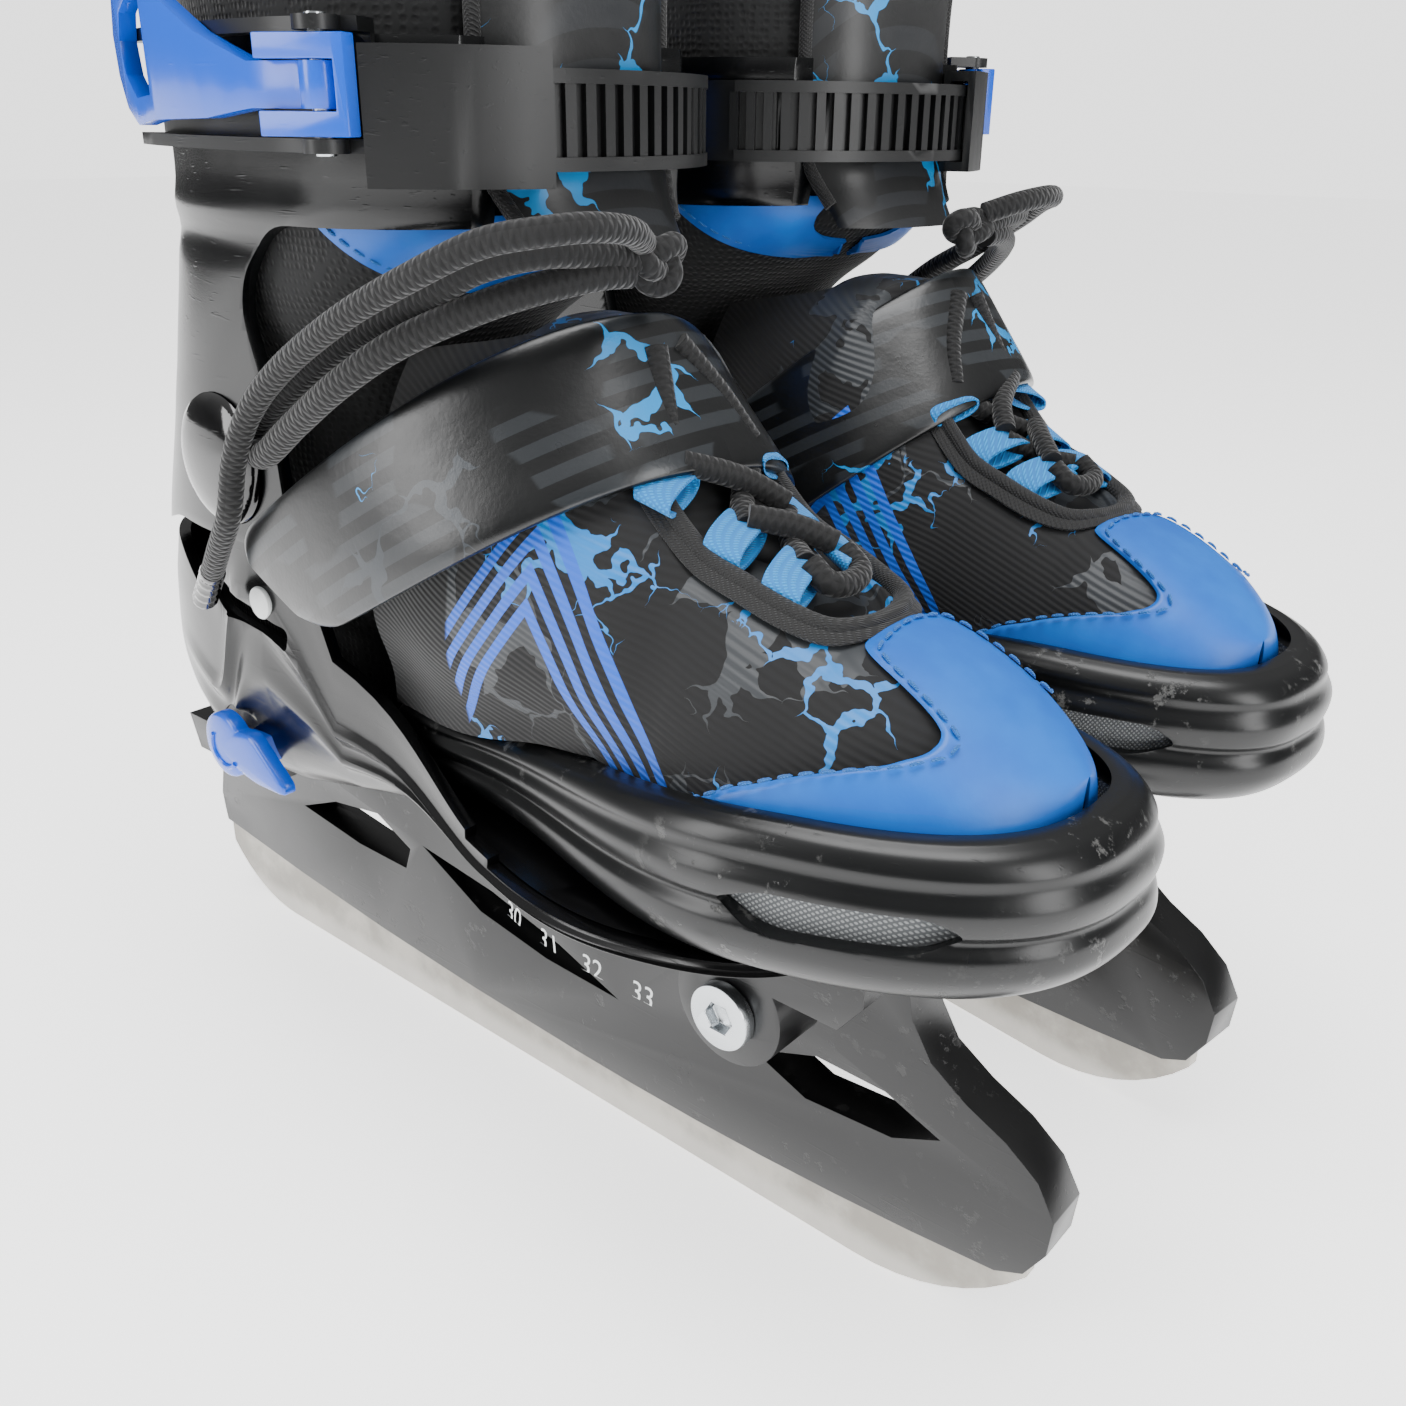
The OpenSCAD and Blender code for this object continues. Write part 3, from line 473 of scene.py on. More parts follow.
def ribs(f, coordinate, pitch):
    """A row of round ribs, pitch in millimetres."""
    wave = f.math("SINE", f.math("MULTIPLY", coordinate, 2 * math.pi / (pitch * MM)))
    return f.math("MULTIPLY_ADD", wave, 0.5, 0.5)


def stripe_mark(f):
    """Four parallel lines that fold at a corner: they measure the distance from a bent centre line."""
    x, z = f.axis("X"), f.axis("Z")
    fold = f.math("ABSOLUTE", f.math("SUBTRACT", x, 0.033))
    run = f.math("ADD", f.math("MULTIPLY", fold, 0.85), f.math("MULTIPLY", z, 0.62))
    phase = f.math("FRACT", f.math("DIVIDE", f.math("SUBTRACT", run, 0.0746), 0.0033))
    line = f.math("LESS_THAN", phase, 0.56)
    inside = f.math("MULTIPLY", f.math("GREATER_THAN", run, 0.0746), f.math("LESS_THAN", run, 0.0878))
    side = f.math("GREATER_THAN", f.math("ABSOLUTE", f.axis("Y")), 0.017)
    return f.math("MULTIPLY", f.math("MULTIPLY", line, inside), side)


def vamp_cloth():
    """Ribbed polyester: half-millimetre cross ribs drawn at 1.1 mm, matt, with rubbery print on top."""
    f = Finish("ribbed_polyester_printed", "#0b0b0d", 0.82, Sheen_Weight=0.12, Sheen_Roughness=0.5)
    rib = ribs(f, f.math("ADD", f.math("MULTIPLY", f.axis("X"), 0.35), f.axis("Z")), 1.1)
    cloth = f.paint(f.math("MULTIPLY", rib, 0.5), "#030304", "#101113")
    printed = f.step(f.axis("X"), 0.0155, 0.0165)
    mark = stripe_mark(f)
    clear = f.math("MULTIPLY", printed, f.math("SUBTRACT", 1.0, mark))
    grey = f.math("MULTIPLY", branches(f, 46, 0.085, 0.56, 3.1), clear)
    blue = f.math("MULTIPLY", branches(f, 64, 0.045, 0.45, 7.7), clear)
    mark = f.math("MULTIPLY", mark, printed)
    colour = f.paint(grey, cloth, "#262a2e")
    colour = f.paint(blue, colour, "#0478c4")
    colour = f.paint(mark, colour, "#045ad0")
    f.join("Base Color", colour)
    ink = f.math("MAXIMUM", f.math("MAXIMUM", grey, blue), mark)
    f.join("Roughness", f.span(ink, 0.84, 0.5))
    f.bump(rib, 0.10)
    f.bump(ink, 0.05)
    return f.material


def coated_print(name, base, stripe, splash, angle, pitch, rough=0.34):
    """Polyurethane-coated cloth: soft gloss, fine leather grain, slanting stripes and blue splashes."""
    f = Finish(name, base, rough, Coat_Weight=0.15, Coat_Roughness=0.25)
    turned = f.add("ShaderNodeMapping", {"Vector": f.place, "Rotation": (0, angle, 0)}).outputs[0]
    band = f.math("FRACT", f.math("DIVIDE", f.axis("Z", turned), pitch * MM))
    gate = f.step(f.noise(70, 0, 0.5), 0.45, 0.5)
    lines = f.math("MULTIPLY", f.math("LESS_THAN", band, 0.5), gate)
    blue = branches(f, 55, 0.05, splash, 5.3)
    grey = branches(f, 42, 0.06, 0.4, 1.9)
    colour = f.paint(lines, base, stripe)
    colour = f.paint(grey, colour, "#2c3136")
    f.join("Base Color", f.paint(blue, colour, "#0687cc"))
    f.join("Roughness", f.span(f.noise(120, 3), rough - 0.08, rough + 0.1))
    f.bump(f.noise(1400, 2), 0.025)
    f.bump(f.noise(140, 2), 0.12)
    return f.material


def soft_mesh(name, colour, light, pitch, depth=0.14):
    """Spacer mesh: round cells a millimetre or so apart over dark foam."""
    f = Finish(name, colour, 0.88, Sheen_Weight=0.2, Sheen_Roughness=0.4)
    cells = f.add("ShaderNodeTexVoronoi", {"Vector": f.place, "Scale": 1000 / pitch, "Randomness": 0.35},
                  feature="F1").outputs["Distance"]
    f.join("Base Color", f.paint(f.step(cells, 0.25, 0.5), colour, light))
    f.bump(f.step(cells, 0.15, 0.6), depth)
    return f.material


def coated_blue():
    """Polyurethane-coated cloth in plain blue: a satin skin with slight creases and rubbed patches."""
    f = Finish("polyurethane_cloth_blue", "#1273d4", 0.42, IOR=1.46)
    f.join("Base Color", f.paint(f.step(f.noise(80, 4), 0.35, 0.7), "#0560c4", "#0a6ed2"))
    f.join("Roughness", f.span(f.noise(90, 3), 0.36, 0.5))
    f.bump(f.noise(1100, 2), 0.02)
    f.bump(f.noise(60, 2), 0.2)
    return f.material


def woven(name, colour, light, pitch):
    """Webbing or lining: a checker of warp and weft, drawn a little coarser than it is."""
    f = Finish(name, colour, 0.75, Sheen_Weight=0.15)
    warp = ribs(f, f.math("ADD", f.axis("X"), f.axis("Z")), pitch)
    weft = ribs(f, f.math("SUBTRACT", f.axis("X"), f.math("ADD", f.axis("Z"), f.axis("Y"))), pitch)
    weave = f.math("MULTIPLY", warp, weft)
    f.join("Base Color", f.paint(f.step(weave, 0.1, 0.6), colour, light))
    f.bump(weave, 0.15)
    return f.material


def braided_cord():
    """Braided polyester lace: slanting ribs round the cord, read from its own length and turn."""
    f = Finish("braided_polyester_black", "#0a0a0b", 0.85, Sheen_Weight=0.25, Sheen_Roughness=0.4)
    uv = f.add("ShaderNodeAttribute", attribute_name="braid").outputs["Vector"]
    a = f.math("ADD", f.axis("X", uv), f.axis("Y", uv))
    b = f.math("SUBTRACT", f.axis("X", uv), f.axis("Y", uv))
    plait = f.math("MAXIMUM", ribs(f, a, 1000.0), ribs(f, b, 1000.0))
    f.join("Base Color", f.paint(f.step(plait, 0.3, 0.95), "#020202", "#0e0e0f"))
    f.bump(plait, 0.22)
    return f.material


VAMP = vamp_cloth()
STRAP = coated_print("coated_cloth_striped", "#0b0c0d", "#26292c", 0.36, 0.55, 4.6, 0.3)
TONGUE = coated_print("coated_cloth_tongue", "#0c0d0e", "#1d1f22", 0.5, 0.9, 5.2, 0.4)
MESH = soft_mesh("spacer_mesh_black", "#020203", "#0b0c0d", 1.3)
LINING = soft_mesh("brushed_lining_black", "#0a0a0b", "#131315", 0.9, 0.06)
VENT = woven("woven_mesh_silver", "#5e6163", "#a7aaab", 0.9)
CAP_BLUE = coated_blue()
WEBBING = woven("webbing_cyan", "#0475c0", "#0a98e4", 0.9)
BINDING = woven("binding_tape_black", "#050505", "#121214", 0.7)
CORD = braided_cord()
THREAD_BLACK = woven("thread_black", "#0b0b0c", "#1f1f22", 0.5)
THREAD_BLUE = woven("thread_blue", "#0b5aa8", "#1b79cf", 0.5)
print(len(bpy.data.materials), "materials")

# %% [markdown]
# ## The lace
# A round braided lace, tied at the instep and taken once round the ankle. It is a fixed length of cord, so
# its route comes first: the same points as in the part, then a smooth curve through them.

# %% Lace
LACE_R = 2.3
KNOT = (35.8, -5, 170.6)
BOW = [(35.5, -10, 170.6), (34.5, -18, 172.5), (32, -26, 172.8), (25, -32, 170.5), (16, -35, 165.4),
       (1, -38, 158.5), (-12, -39.6, 150.4), (-22, -39.6, 144), (-25.5, -40, 139.8), (-19, -41.5, 138.6),
       (-8, -42, 145.4), (5, -41.6, 153.6), (16, -38, 160.4), (27, -29, 166.2), (34, -18, 169.2),
       (35.6, -11, 169.4)]


def braided(name, path, radius, sides=16, pitch=1.5):
    """A cord with a UV map of its braid: along it in plaits, and round it in quarters of a turn."""
    path = np.asarray(path, float)
    points = circles(path, radius, sides)
    index = np.arange(len(path) * sides).reshape(len(path), sides)
    a, b = index[:-1], index[1:]
    quads = np.stack([a, np.roll(a, -1, 1), np.roll(b, -1, 1), b], axis=-1).reshape(-1, 4)
    mesh = bpy.data.meshes.new(name)
    mesh.from_pydata((points.reshape(-1, 3) * MM).tolist(), [],
                     quads.tolist() + [index[0][::-1].tolist(), index[-1].tolist()])
    run = np.concatenate([[0], np.cumsum(np.linalg.norm(np.diff(path, axis=0), axis=1))]) / pitch
    u0, v0 = np.meshgrid(run[:-1], np.arange(sides) * 4 / sides, indexing="ij")
    u1, _ = np.meshgrid(run[1:], np.arange(sides), indexing="ij")
    step = 4 / sides
    uv = np.stack([np.stack([u0, v0], -1), np.stack([u0, v0 + step], -1),
                   np.stack([u1, v0 + step], -1), np.stack([u1, v0], -1)], axis=2).reshape(-1)
    layer = mesh.uv_layers.new(name="braid")
    full = np.zeros(len(mesh.loops) * 2, np.float32)
    full[:len(uv)] = uv
    layer.data.foreach_set("uv", full)
    piece = bpy.data.objects.new(name, mesh)
    bpy.context.scene.collection.objects.link(piece)
    return piece


bow_path = evenly(through(BOW, 400), 1.0)
bow = braided("lace", bow_path, LACE_R)


def knot_path(centre, size, count=160):
    """A trefoil: the curve of a simple overhand knot, squashed to size."""
    t = np.linspace(0, 2 * math.pi, count)
    shape = np.stack([np.sin(t) + 2 * np.sin(2 * t), np.cos(t) - 2 * np.cos(2 * t), -1.1 * np.sin(3 * t)], 1)
    turned = shape[:, [2, 0, 1]]
    return np.asarray(centre) + turned * np.asarray(size) / 3


knot = braided("lace_knot", knot_path(KNOT, (2.6, 4.6, 3.4)), 1.9)
right_knot, left_knot = both(knot, "base", CORD, "lace_cord")
lace_pair = both(bow, "base", CORD, "lace_cord", ["lace"])
for lace_piece, knot_piece, move in zip(lace_pair, (right_knot, left_knot), (Matrix.Identity(4), TO_LEFT)):
    route = [tuple(move @ (Vector(p) * MM)) for p in bow_path.tolist()]
    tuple(route[0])

TAIL_R = 2.1
TAIL = [(36.5, -9, 173.6), (39.8, -15, 175.6), (40.6, -23, 176.6), (37.6, -30, 176.2), (31, -35.4, 174.6),
        (22.6, -39.4, 170.6), (8.3, -42.4, 163.6), (-6.9, -43.6, 154.8), (-17, -44.2, 146.6),
        (-23, -44.6, 137.7), (-26.5, -44.8, 127.9), (-35, -43, 118.9), (-42.5, -40.6, 112.4)]
tail_path = evenly(through(TAIL, 300), 1.0)
tail_pair = both(braided("lace_tail", tail_path, TAIL_R), "base", CORD, "lace_cord")
aglet_path = evenly(through([TAIL[-2], TAIL[-1], (-50.5, -38.2, 105.4)], 40), 1.0)[8:]
aglet = tube("aglet", aglet_path, 2.25 + 0.18 * np.sin(np.arange(len(aglet_path)) * 2.2), 14)
aglets = both(aglet, "base", GLOSS, "shell_black")
for lace_piece, end_piece, move in zip(tail_pair, aglets, (Matrix.Identity(4), TO_LEFT)):
    route = [tuple(move @ (Vector(p) * MM)) for p in tail_path.tolist()]
    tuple(route[0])

# %% [markdown]
# ## Outlines of the foot
# The shells share one plan outline: half an ellipse behind and a squarer curve in front, wider at the ball
# of the foot on its outer side. Heights change along the foot, so each is a function of x.

# %% Outline functions
WALL = 2.5
SLIDE_GAP = 0.6
TRAVEL = 20
WAIST_OUT, WAIST_IN = 28.5, 28.0
BALL_OUT, BALL_IN = 44.0, 34.0
TRAY_TOP, TOE_UNDER, TOE_FLOOR = 78.5, 79.5, 82.0
TOE_TIP, TOE_BACK = 122.0, -10.0
ANKLE = (-43.0, 133.0)
HEEL_WALL_Y = WAIST_OUT + SLIDE_GAP + WALL


def toe_side(x, y):
    """Half width of the toe shell at x, on the side that y's sign says."""
    return mix(np.where(y < 0, WAIST_OUT, WAIST_IN), np.where(y < 0, BALL_OUT, BALL_IN), ease(10, 80, x))


def heel_side(x, y):
    """Half width inside the heel shell: the toe shell's, moved back by the travel, plus the gap."""
    return toe_side(x + TRAVEL, y) + SLIDE_GAP


def foot_ring(back, front, side, grow, height, count=240, power=2.5, mid=26.0):
    """A closed plan outline between two ends; height gives z from x."""
    a = 2 * math.pi * (np.arange(count) + 0.5) / count
    c, s = np.cos(a), np.sin(a)
    p = 2 / np.where(c < 0, 2.0, power)
    x = mid + np.where(c < 0, mid - back, front - mid) * signed_power(c, p)
    y = (side(x, s) + grow) * signed_power(s, p)
    return np.stack([x, y, height(x, y)], axis=1)


def heel_rim(x):
    """Top of the heel shell: high behind, an ear at the ankle, low arms in front."""
    low = mix(mix(108, 99, ease(-88, -60, x)), 81, ease(-26, 28, x))
    return low + 47 * np.exp(-(((x - ANKLE[0]) / 14) ** 4))


def heel_under(x):
    """Underside of the heel shell: it rises from the heel to the tray."""
    return mix(62.0, 74.0, ease(-60, 10, x))


def toe_rim(x):
    """Top of the toe shell."""
    return mix(91.5, 104.0, ease(-10, 88, x))


# %% [markdown]
# ## The heel shell
# One moulding: a cup for the heel with an ear at each side, and two arms that reach forward round a tray.
# It is a loft from its underside up the outside, over the rim and down the inside. Three long ridges stand
# on the flank and follow the arm, because their height is a function of the share of the way up.

# %% Heel shell
def shell_rows(stations, wall, count):
    """Outer then inner rows of a shell from stations of share up, growth, back and front."""
    outer = through(stations, count)
    inner = outer[::-1].copy()
    inner[:, 1] -= wall
    inner[:, 2] += wall
    inner[:, 3] -= wall
    return outer, inner


def heel_shell():
    """The loft: z runs from the underside to the rim, and the ridges grow out of the flank."""
    stations = [(0, -6, -101, 84), (0.05, -2.6, -104, 86), (0.12, -0.5, -106, 87), (0.28, 1.8, -108.6, 87.8),
                (0.45, 2.9, -110, 88), (0.75, 2.6, -108.5, 88), (0.9, 2.55, -106, 88), (1, 2.5, -104, 88)]
    outer, inner = shell_rows(stations, WALL, 64)
    inner = inner[inner[:, 0] > 0.18]
    rings = []
    for rows, ridged in ((outer, True), (inner, False)):
        for v, grow, back, front in rows:
            def height(x, y, v=v):
                return mix(heel_under(x), heel_rim(x), v)
            ring = foot_ring(back, front, heel_side, grow, height, 320, 4.0, ANKLE[0])
            if ridged:
                x = ring[:, 0]
                arm = ease(-95, -60, x)
                lift = (1.0 * hump(v, 0.52, 0.045) + 0.8 * hump(v, 0.30, 0.04)) * arm
                lift -= 0.7 * hump(v, 0.41, 0.05) * arm
                ring[:, 1] += np.sign(ring[:, 1]) * lift * ease(0, 12, np.abs(ring[:, 1]))
            rings.append(ring)
    rings.append(foot_ring(-106, 85.5, heel_side, -0.1, lambda x, y: np.full_like(x, TRAY_TOP), 320, 4.0,
                           ANKLE[0]))
    return grid("heel_shell", np.array(rings), around=True, ends=True)


def round_hole(x, z, radius, y0, y1):
    """A straight round hole across the skate."""
    a = np.linspace(0, 2 * math.pi, 64, endpoint=False)
    return prism("hole", np.stack([x + radius * np.cos(a), z + radius * np.sin(a)], 1), y0, y1)


def fillet_outline(points, radius, steps=8):
    """A polygon with each corner replaced by a curve that starts radius before it and ends radius after."""
    points = np.asarray(points, float)
    out = []
    for before, corner, after in zip(np.roll(points, 1, 0), points, np.roll(points, -1, 0)):
        reach = min(radius, np.linalg.norm(before - corner) * 0.45, np.linalg.norm(after - corner) * 0.45)
        a = corner + unit(before - corner) * reach
        b = corner + unit(after - corner) * reach
        t = np.linspace(0, 1, steps)[:, None]
        out.append((1 - t) ** 2 * a + 2 * t * (1 - t) * corner + t**2 * b)
    return np.vstack(out)


BUTTON = (-52.0, 71.0)


def teardrop(grow=0.0, count=40):
    """The button's outline: a round back end drawn out to a point in front."""
    a = np.radians(np.linspace(40, 320, count))
    back = np.stack([-6 + (7 + grow) * np.cos(a), (7 + grow) * np.sin(a)], 1)
    tip = np.array([[4, -5.2], [14 + grow, 3.2], [14 + grow, 5.2], [4, 5.6]])
    outline = np.vstack([back, tip])
    return fillet_outline(outline, 2.2, 4) * [1, -1] + BUTTON


shell = heel_shell()
cut(shell,
    prism("over_arms", [(22, 80), (102, 80), (102, 150), (22, 150)], -60, 60),
    prism("over_tray", [(30, TRAY_TOP), (102, TRAY_TOP), (102, 140), (30, 140)], -60, 60),
    prism("flank_window",
          fillet_outline([(-66, 110), (-58, 100.5), (-33, 97.2), (-33, 101.5), (-54, 106)], 3), -60, 60),
    prism("pocket", teardrop(0.6), -60, -HEEL_WALL_Y + 2.2),
    round_hole(*ANKLE, 7.15, -60, 0), round_hole(*ANKLE, 7.15, 1, 60))
rounded(shell, 0.7)
both(shell, "base", SHELL, "shell_black", ["heel_shell"])

# %% [markdown]
# ### Size marks
# Four numbers are pad printed along each arm; the four thin marks beside them are not drawn. A number is a
# text curve turned into a mesh and laid on the flank: its x and z are kept, and its y is worked out from the
# shell's own growth.

# %% Size marks
MARKS = [(43.2, "30"), (52.6, "31"), (62.1, "32"), (72.1, "33")]


def on_arm(x, z, lift):
    """The outer flank of the arm at x and z."""
    share = np.clip((z - heel_under(x)) / (heel_rim(x) - heel_under(x)), 0, 1)
    grow = np.interp(share, [0, 0.05, 0.12, 0.28, 0.45, 0.75, 1], [-6, -2.6, -0.5, 1.8, 2.9, 2.6, 2.5])
    return -(heel_side(x, -1.0) + grow + lift)


def number(name, text, x, z, height):
    """A number's outline as a mesh wrapped on the arm."""
    curve = bpy.data.curves.new(name, "FONT")
    curve.body, curve.align_x, curve.size = text, "CENTER", height
    holder = bpy.data.objects.new(name, curve)
    bpy.context.scene.collection.objects.link(holder)
    mesh = bpy.data.meshes.new_from_object(holder.evaluated_get(bpy.context.evaluated_depsgraph_get()))
    bpy.data.objects.remove(holder)
    flat = np.zeros(len(mesh.vertices) * 3, np.float32)
    mesh.vertices.foreach_get("co", flat)
    flat = flat.reshape(-1, 3)
    px, pz = x + flat[:, 0], z + flat[:, 1]
    wrapped = np.stack([px, on_arm(px, pz, 1.25), pz], 1) * MM
    mesh.vertices.foreach_set("co", wrapped.ravel().astype(np.float32))
    piece = bpy.data.objects.new(name, mesh)
    bpy.context.scene.collection.objects.link(piece)
    return piece


for px, text in MARKS:
    low_z = float(heel_under(px)) + 2.6
    both(number("number_" + text, text, px, low_z, 4.4), "base", WHITE, None)

# %% [markdown]
# ## The toe shell
# It slides in and out of the heel shell to change the size. Its rim is a soft bumper with a groove where the
# boot is stitched to it, and two beads below run round the toe. Each flank has a long slot backed by mesh.

# %% Toe shell
def toe_height(v, x):
    """Height a share v of the way from the floor to the rim."""
    return mix(TOE_UNDER, toe_rim(x), v)


def toe_shell(low, high, name):
    """The part of the toe shell's wall from share low to share high, as a closed skin."""
    stations = [(0, -6, TOE_TIP - 9), (0.05, -2.6, TOE_TIP - 4.6), (0.14, -0.7, TOE_TIP - 1.6),
                (0.26, 0.35, TOE_TIP + 0.2), (0.38, 0.2, TOE_TIP), (0.47, -1.1, TOE_TIP - 1.0),
                (0.54, -0.2, TOE_TIP - 0.2), (0.66, 0.3, TOE_TIP + 0.1), (0.78, -0.9, TOE_TIP - 1.2),
                (0.86, -0.8, TOE_TIP - 1.6), (0.95, -1.9, TOE_TIP - 3.4), (1, -3.6, TOE_TIP - 6)]
    outer = through(stations, 72)
    outer = outer[(outer[:, 0] >= low - 1e-6) & (outer[:, 0] <= high + 1e-6)]
    rings = [foot_ring(-70, front, toe_side, grow, lambda x, y, v=v: toe_height(v, x))
             for v, grow, front in outer]
    rings += [foot_ring(-70, front - WALL, toe_side, min(grow, -0.2) - WALL,
                        lambda x, y, v=v: np.maximum(toe_height(v, x), TOE_FLOOR))
              for v, grow, front in outer[::-1] if v > 0.1]
    if low == 0:
        rings.append(foot_ring(-70, TOE_TIP - 8, toe_side, -5, lambda x, y: np.full_like(x, TOE_FLOOR)))
    return grid(name, np.array(rings), around=True, along=low > 0, ends=low == 0)


toe = toe_shell(0, 1, "toe_shell")
behind = prism("behind", [(-120, 60), (TOE_BACK, 60), (TOE_BACK, 140), (-120, 140)], -60, 60)
vent = fillet_outline([(76, 91.6), (84, 95.2), (106, 95.4), (110, 92.4), (104, 89.2), (84, 88.2)], 3.2)
cut(toe, behind, prism("vent", vent, -60, 60))
rounded(toe, 0.45)
both(toe, "toe", BUMPER, "shell_black", ["toe_shell"])
mesh_rows = [foot_ring(-70, TOE_TIP - 4.6 + g, toe_side, -3.9 + g, lambda x, y, z=z: np.full_like(x, z))
             for z, g in ((86.5, 0.8), (97.5, 0.8), (97.5, 0.0), (86.5, 0.0))]
vent_cloth = grid("vent_mesh", np.array(mesh_rows), around=True, along=True)
cut(vent_cloth, prism("behind", [(-120, 60), (73, 60), (73, 140), (-120, 140)], -60, 60),
    prism("before", [(112, 60), (150, 60), (150, 140), (112, 140)], -60, 60))
both(vent_cloth, "toe", VENT, "grey_mesh", ["vent_mesh"])

# %% [markdown]
# ## The soft forefoot
# Ribbed cloth over foam, drawn over the toes as an arch. The loft runs across the foot in half circles
# squared off at the sides. Each arch stands on the shell and rises to a ridge line that climbs the instep.

# %% Forefoot surface
def ridge(x):
    """Height of the boot's ridge line: it falls to the nose, and climbs the instep faster and faster."""
    d = 78 - x
    fore = mix(122, 103, np.abs(np.minimum(d, 0) / 38) ** 1.6)
    back = np.minimum(161, 122 + 0.4 * d + 0.28 * np.maximum(0, d - 24) ** 1.3)
    return np.where(d < 0, fore, back)


def forefoot(x, turn, grow=0.0, base=96.5, front=111.0):
    """A point of the arch at x; turn goes from 0 at the outer foot line over the ridge to pi."""
    c, s = -np.cos(turn), np.sin(turn)
    z = base + (ridge(x) + grow - base) * s**0.8
    puff = 4.5 * ease(96, 112, z) * (1 - ease(35, 75, x))
    inset = mix(-1.5, 7.2, ease(14, 50, x))
    nose = (1 - np.maximum(0, (x - 26) / (front + grow - 26)) ** 2.5).clip(0) ** 0.4
    return np.stack([x, signed_power(c, 0.8) * ((toe_side(x, c) + puff - inset + grow) * nose), z], axis=-1)


def walled(piece, thickness, offset=-1.0):
    """A Solidify modifier, in millimetres; offset -1 grows inwards and 1 outwards."""
    modifier = piece.modifiers.new("wall", "SOLIDIFY")
    modifier.thickness = thickness * MM
    modifier.offset = offset
    return settle(piece)


def throat_share(x, y):
    """1 inside the throat where the lace shows, 0 on the cloth around it."""
    half = 12.5 * np.sqrt(np.clip(1 - ((x - 44) / 33.5) ** 4, 0, 1))
    return (1 - ease(half - 2.2, half + 0.2, np.abs(y + 1.6))) * ease(36, 42, x)


share, turn = np.meshgrid(np.linspace(0, 1, 170), np.linspace(0.0, math.pi, 160), indexing="ij")
flap_end = mix(-9, 16, ease(0.86, 0.97, np.sin(turn)))
x = mix(106, flap_end, share)
low = mix(toe_rim(x) + 0.8, TOE_FLOOR + 0.3, ease(44, 58, x))
cloth = forefoot(x, turn, base=low)
cloth[..., 1] *= 1 - 0.12 * (1 - ease(-9, 14, cloth[..., 0]))
cloth[..., 2] -= 2.6 * throat_share(cloth[..., 0], cloth[..., 1])
cloth[..., 2] += 0.5 * np.sin(cloth[..., 0] / 5.5 + cloth[..., 1] / 9) * hump(cloth[..., 0], 38, 14)
vamp = walled(grid("vamp", cloth), 2.6)
both(vamp, "toe", VAMP, "print_fabric", ["vamp"], sharp=60)

# %% [markdown]
# ## The toe cap
# A smooth coated cloth sewn over the front. Its seam starts at the throat, runs forward and outward to a
# rounded point and then back along the rim as a thin tail, so the seam's x is a function of the way across.

# %% Toe cap and its seam
def seam_x(turn):
    """Where the cap begins at each turn of the arch."""
    across = np.array([-1.0, -0.99, -0.94, -0.88, -0.79, -0.66, -0.54, -0.45, -0.36, -0.28, 0.0,
                       0.28, 0.36, 0.45, 0.54, 0.66, 0.79, 0.88, 0.94, 0.99, 1.0])
    begin = np.array([60, 68, 77.5, 85.5, 92.4, 96.3, 97.0, 95.6, 88.5, 80.5, 78.6,
                      80.5, 88.5, 95.6, 97.0, 96.3, 92.4, 85.5, 77.5, 68, 60])
    return np.interp(-np.cos(turn), across, begin)


t = np.linspace(0.06, math.pi - 0.06, 220)
share = np.sin(np.linspace(0, math.pi / 2, 56))
NOSE_X = 111.995
seam = seam_x(t)
seam = np.convolve(np.pad(seam, 4, mode="edge"), np.ones(9) / 9, mode="valid")
x = mix(seam[None, :], NOSE_X, share[:, None])
turn = np.broadcast_to(t, x.shape)
cap_points = forefoot(x, turn, grow=mix(0.35, 1.0, ease(0, 0.05, share))[:, None], base=94.0)
cap = walled(grid("toe_cap", cap_points), 0.5)
both(cap, "toe", CAP_BLUE, "blue_coated", ["toe_cap"], sharp=60)


def stitches(name, path, pitch, length, radius, outward, lift=0.15):
    """A row of sewn stitches: small spindles along a path, each sunk at both ends."""
    fine = evenly(np.asarray(path, float), 0.25)
    tangent = unit(np.gradient(fine, axis=0))
    out = unit(np.asarray(outward, float)[np.linspace(0, len(outward) - 1, len(fine)).astype(int)])
    every = max(1, int(round(pitch / 0.25)))
    at = np.arange(every // 2, len(fine), every)
    ring = np.linspace(0, 2 * math.pi, 6, endpoint=False)
    along = np.array([-0.5, -0.36, 0.0, 0.36, 0.5])
    fat = np.array([0.25, 0.85, 1.0, 0.85, 0.25])
    sink = np.array([-0.5, 0.5, 1.0, 0.5, -0.5])
    vertices, faces = [], []
    base = np.arange(len(along) * 6).reshape(len(along), 6)
    quads = np.stack([base[:-1], np.roll(base[:-1], -1, 1), np.roll(base[1:], -1, 1), base[1:]], -1)
    quads = quads.reshape(-1, 4)
    side = unit(np.cross(tangent, out))
    for k in at:
        rise = lift + sink[:, None] * radius * 0.6
        centre = fine[k] + along[:, None] * length * tangent[k] + rise * out[k]
        circle = np.cos(ring)[None, :, None] * side[k] + np.sin(ring)[None, :, None] * out[k]
        vertices.append((centre[:, None] + radius * fat[:, None, None] * circle).reshape(-1, 3))
        shift = (len(vertices) - 1) * 30
        faces += (quads + shift).tolist() + [(base[0][::-1] + shift).tolist(), (base[-1] + shift).tolist()]
    mesh = bpy.data.meshes.new(name)
    mesh.from_pydata((np.vstack(vertices) * MM).tolist(), [], faces)
    return linked(name, mesh)


inset = seam + 2.6
seam_line = forefoot(inset, t, grow=1.1)
lifted = forefoot(inset, t, grow=3.0) - seam_line
both(stitches("cap_stitches", seam_line, 3.0, 2.2, 0.32, lifted), "toe", THREAD_BLUE, None)

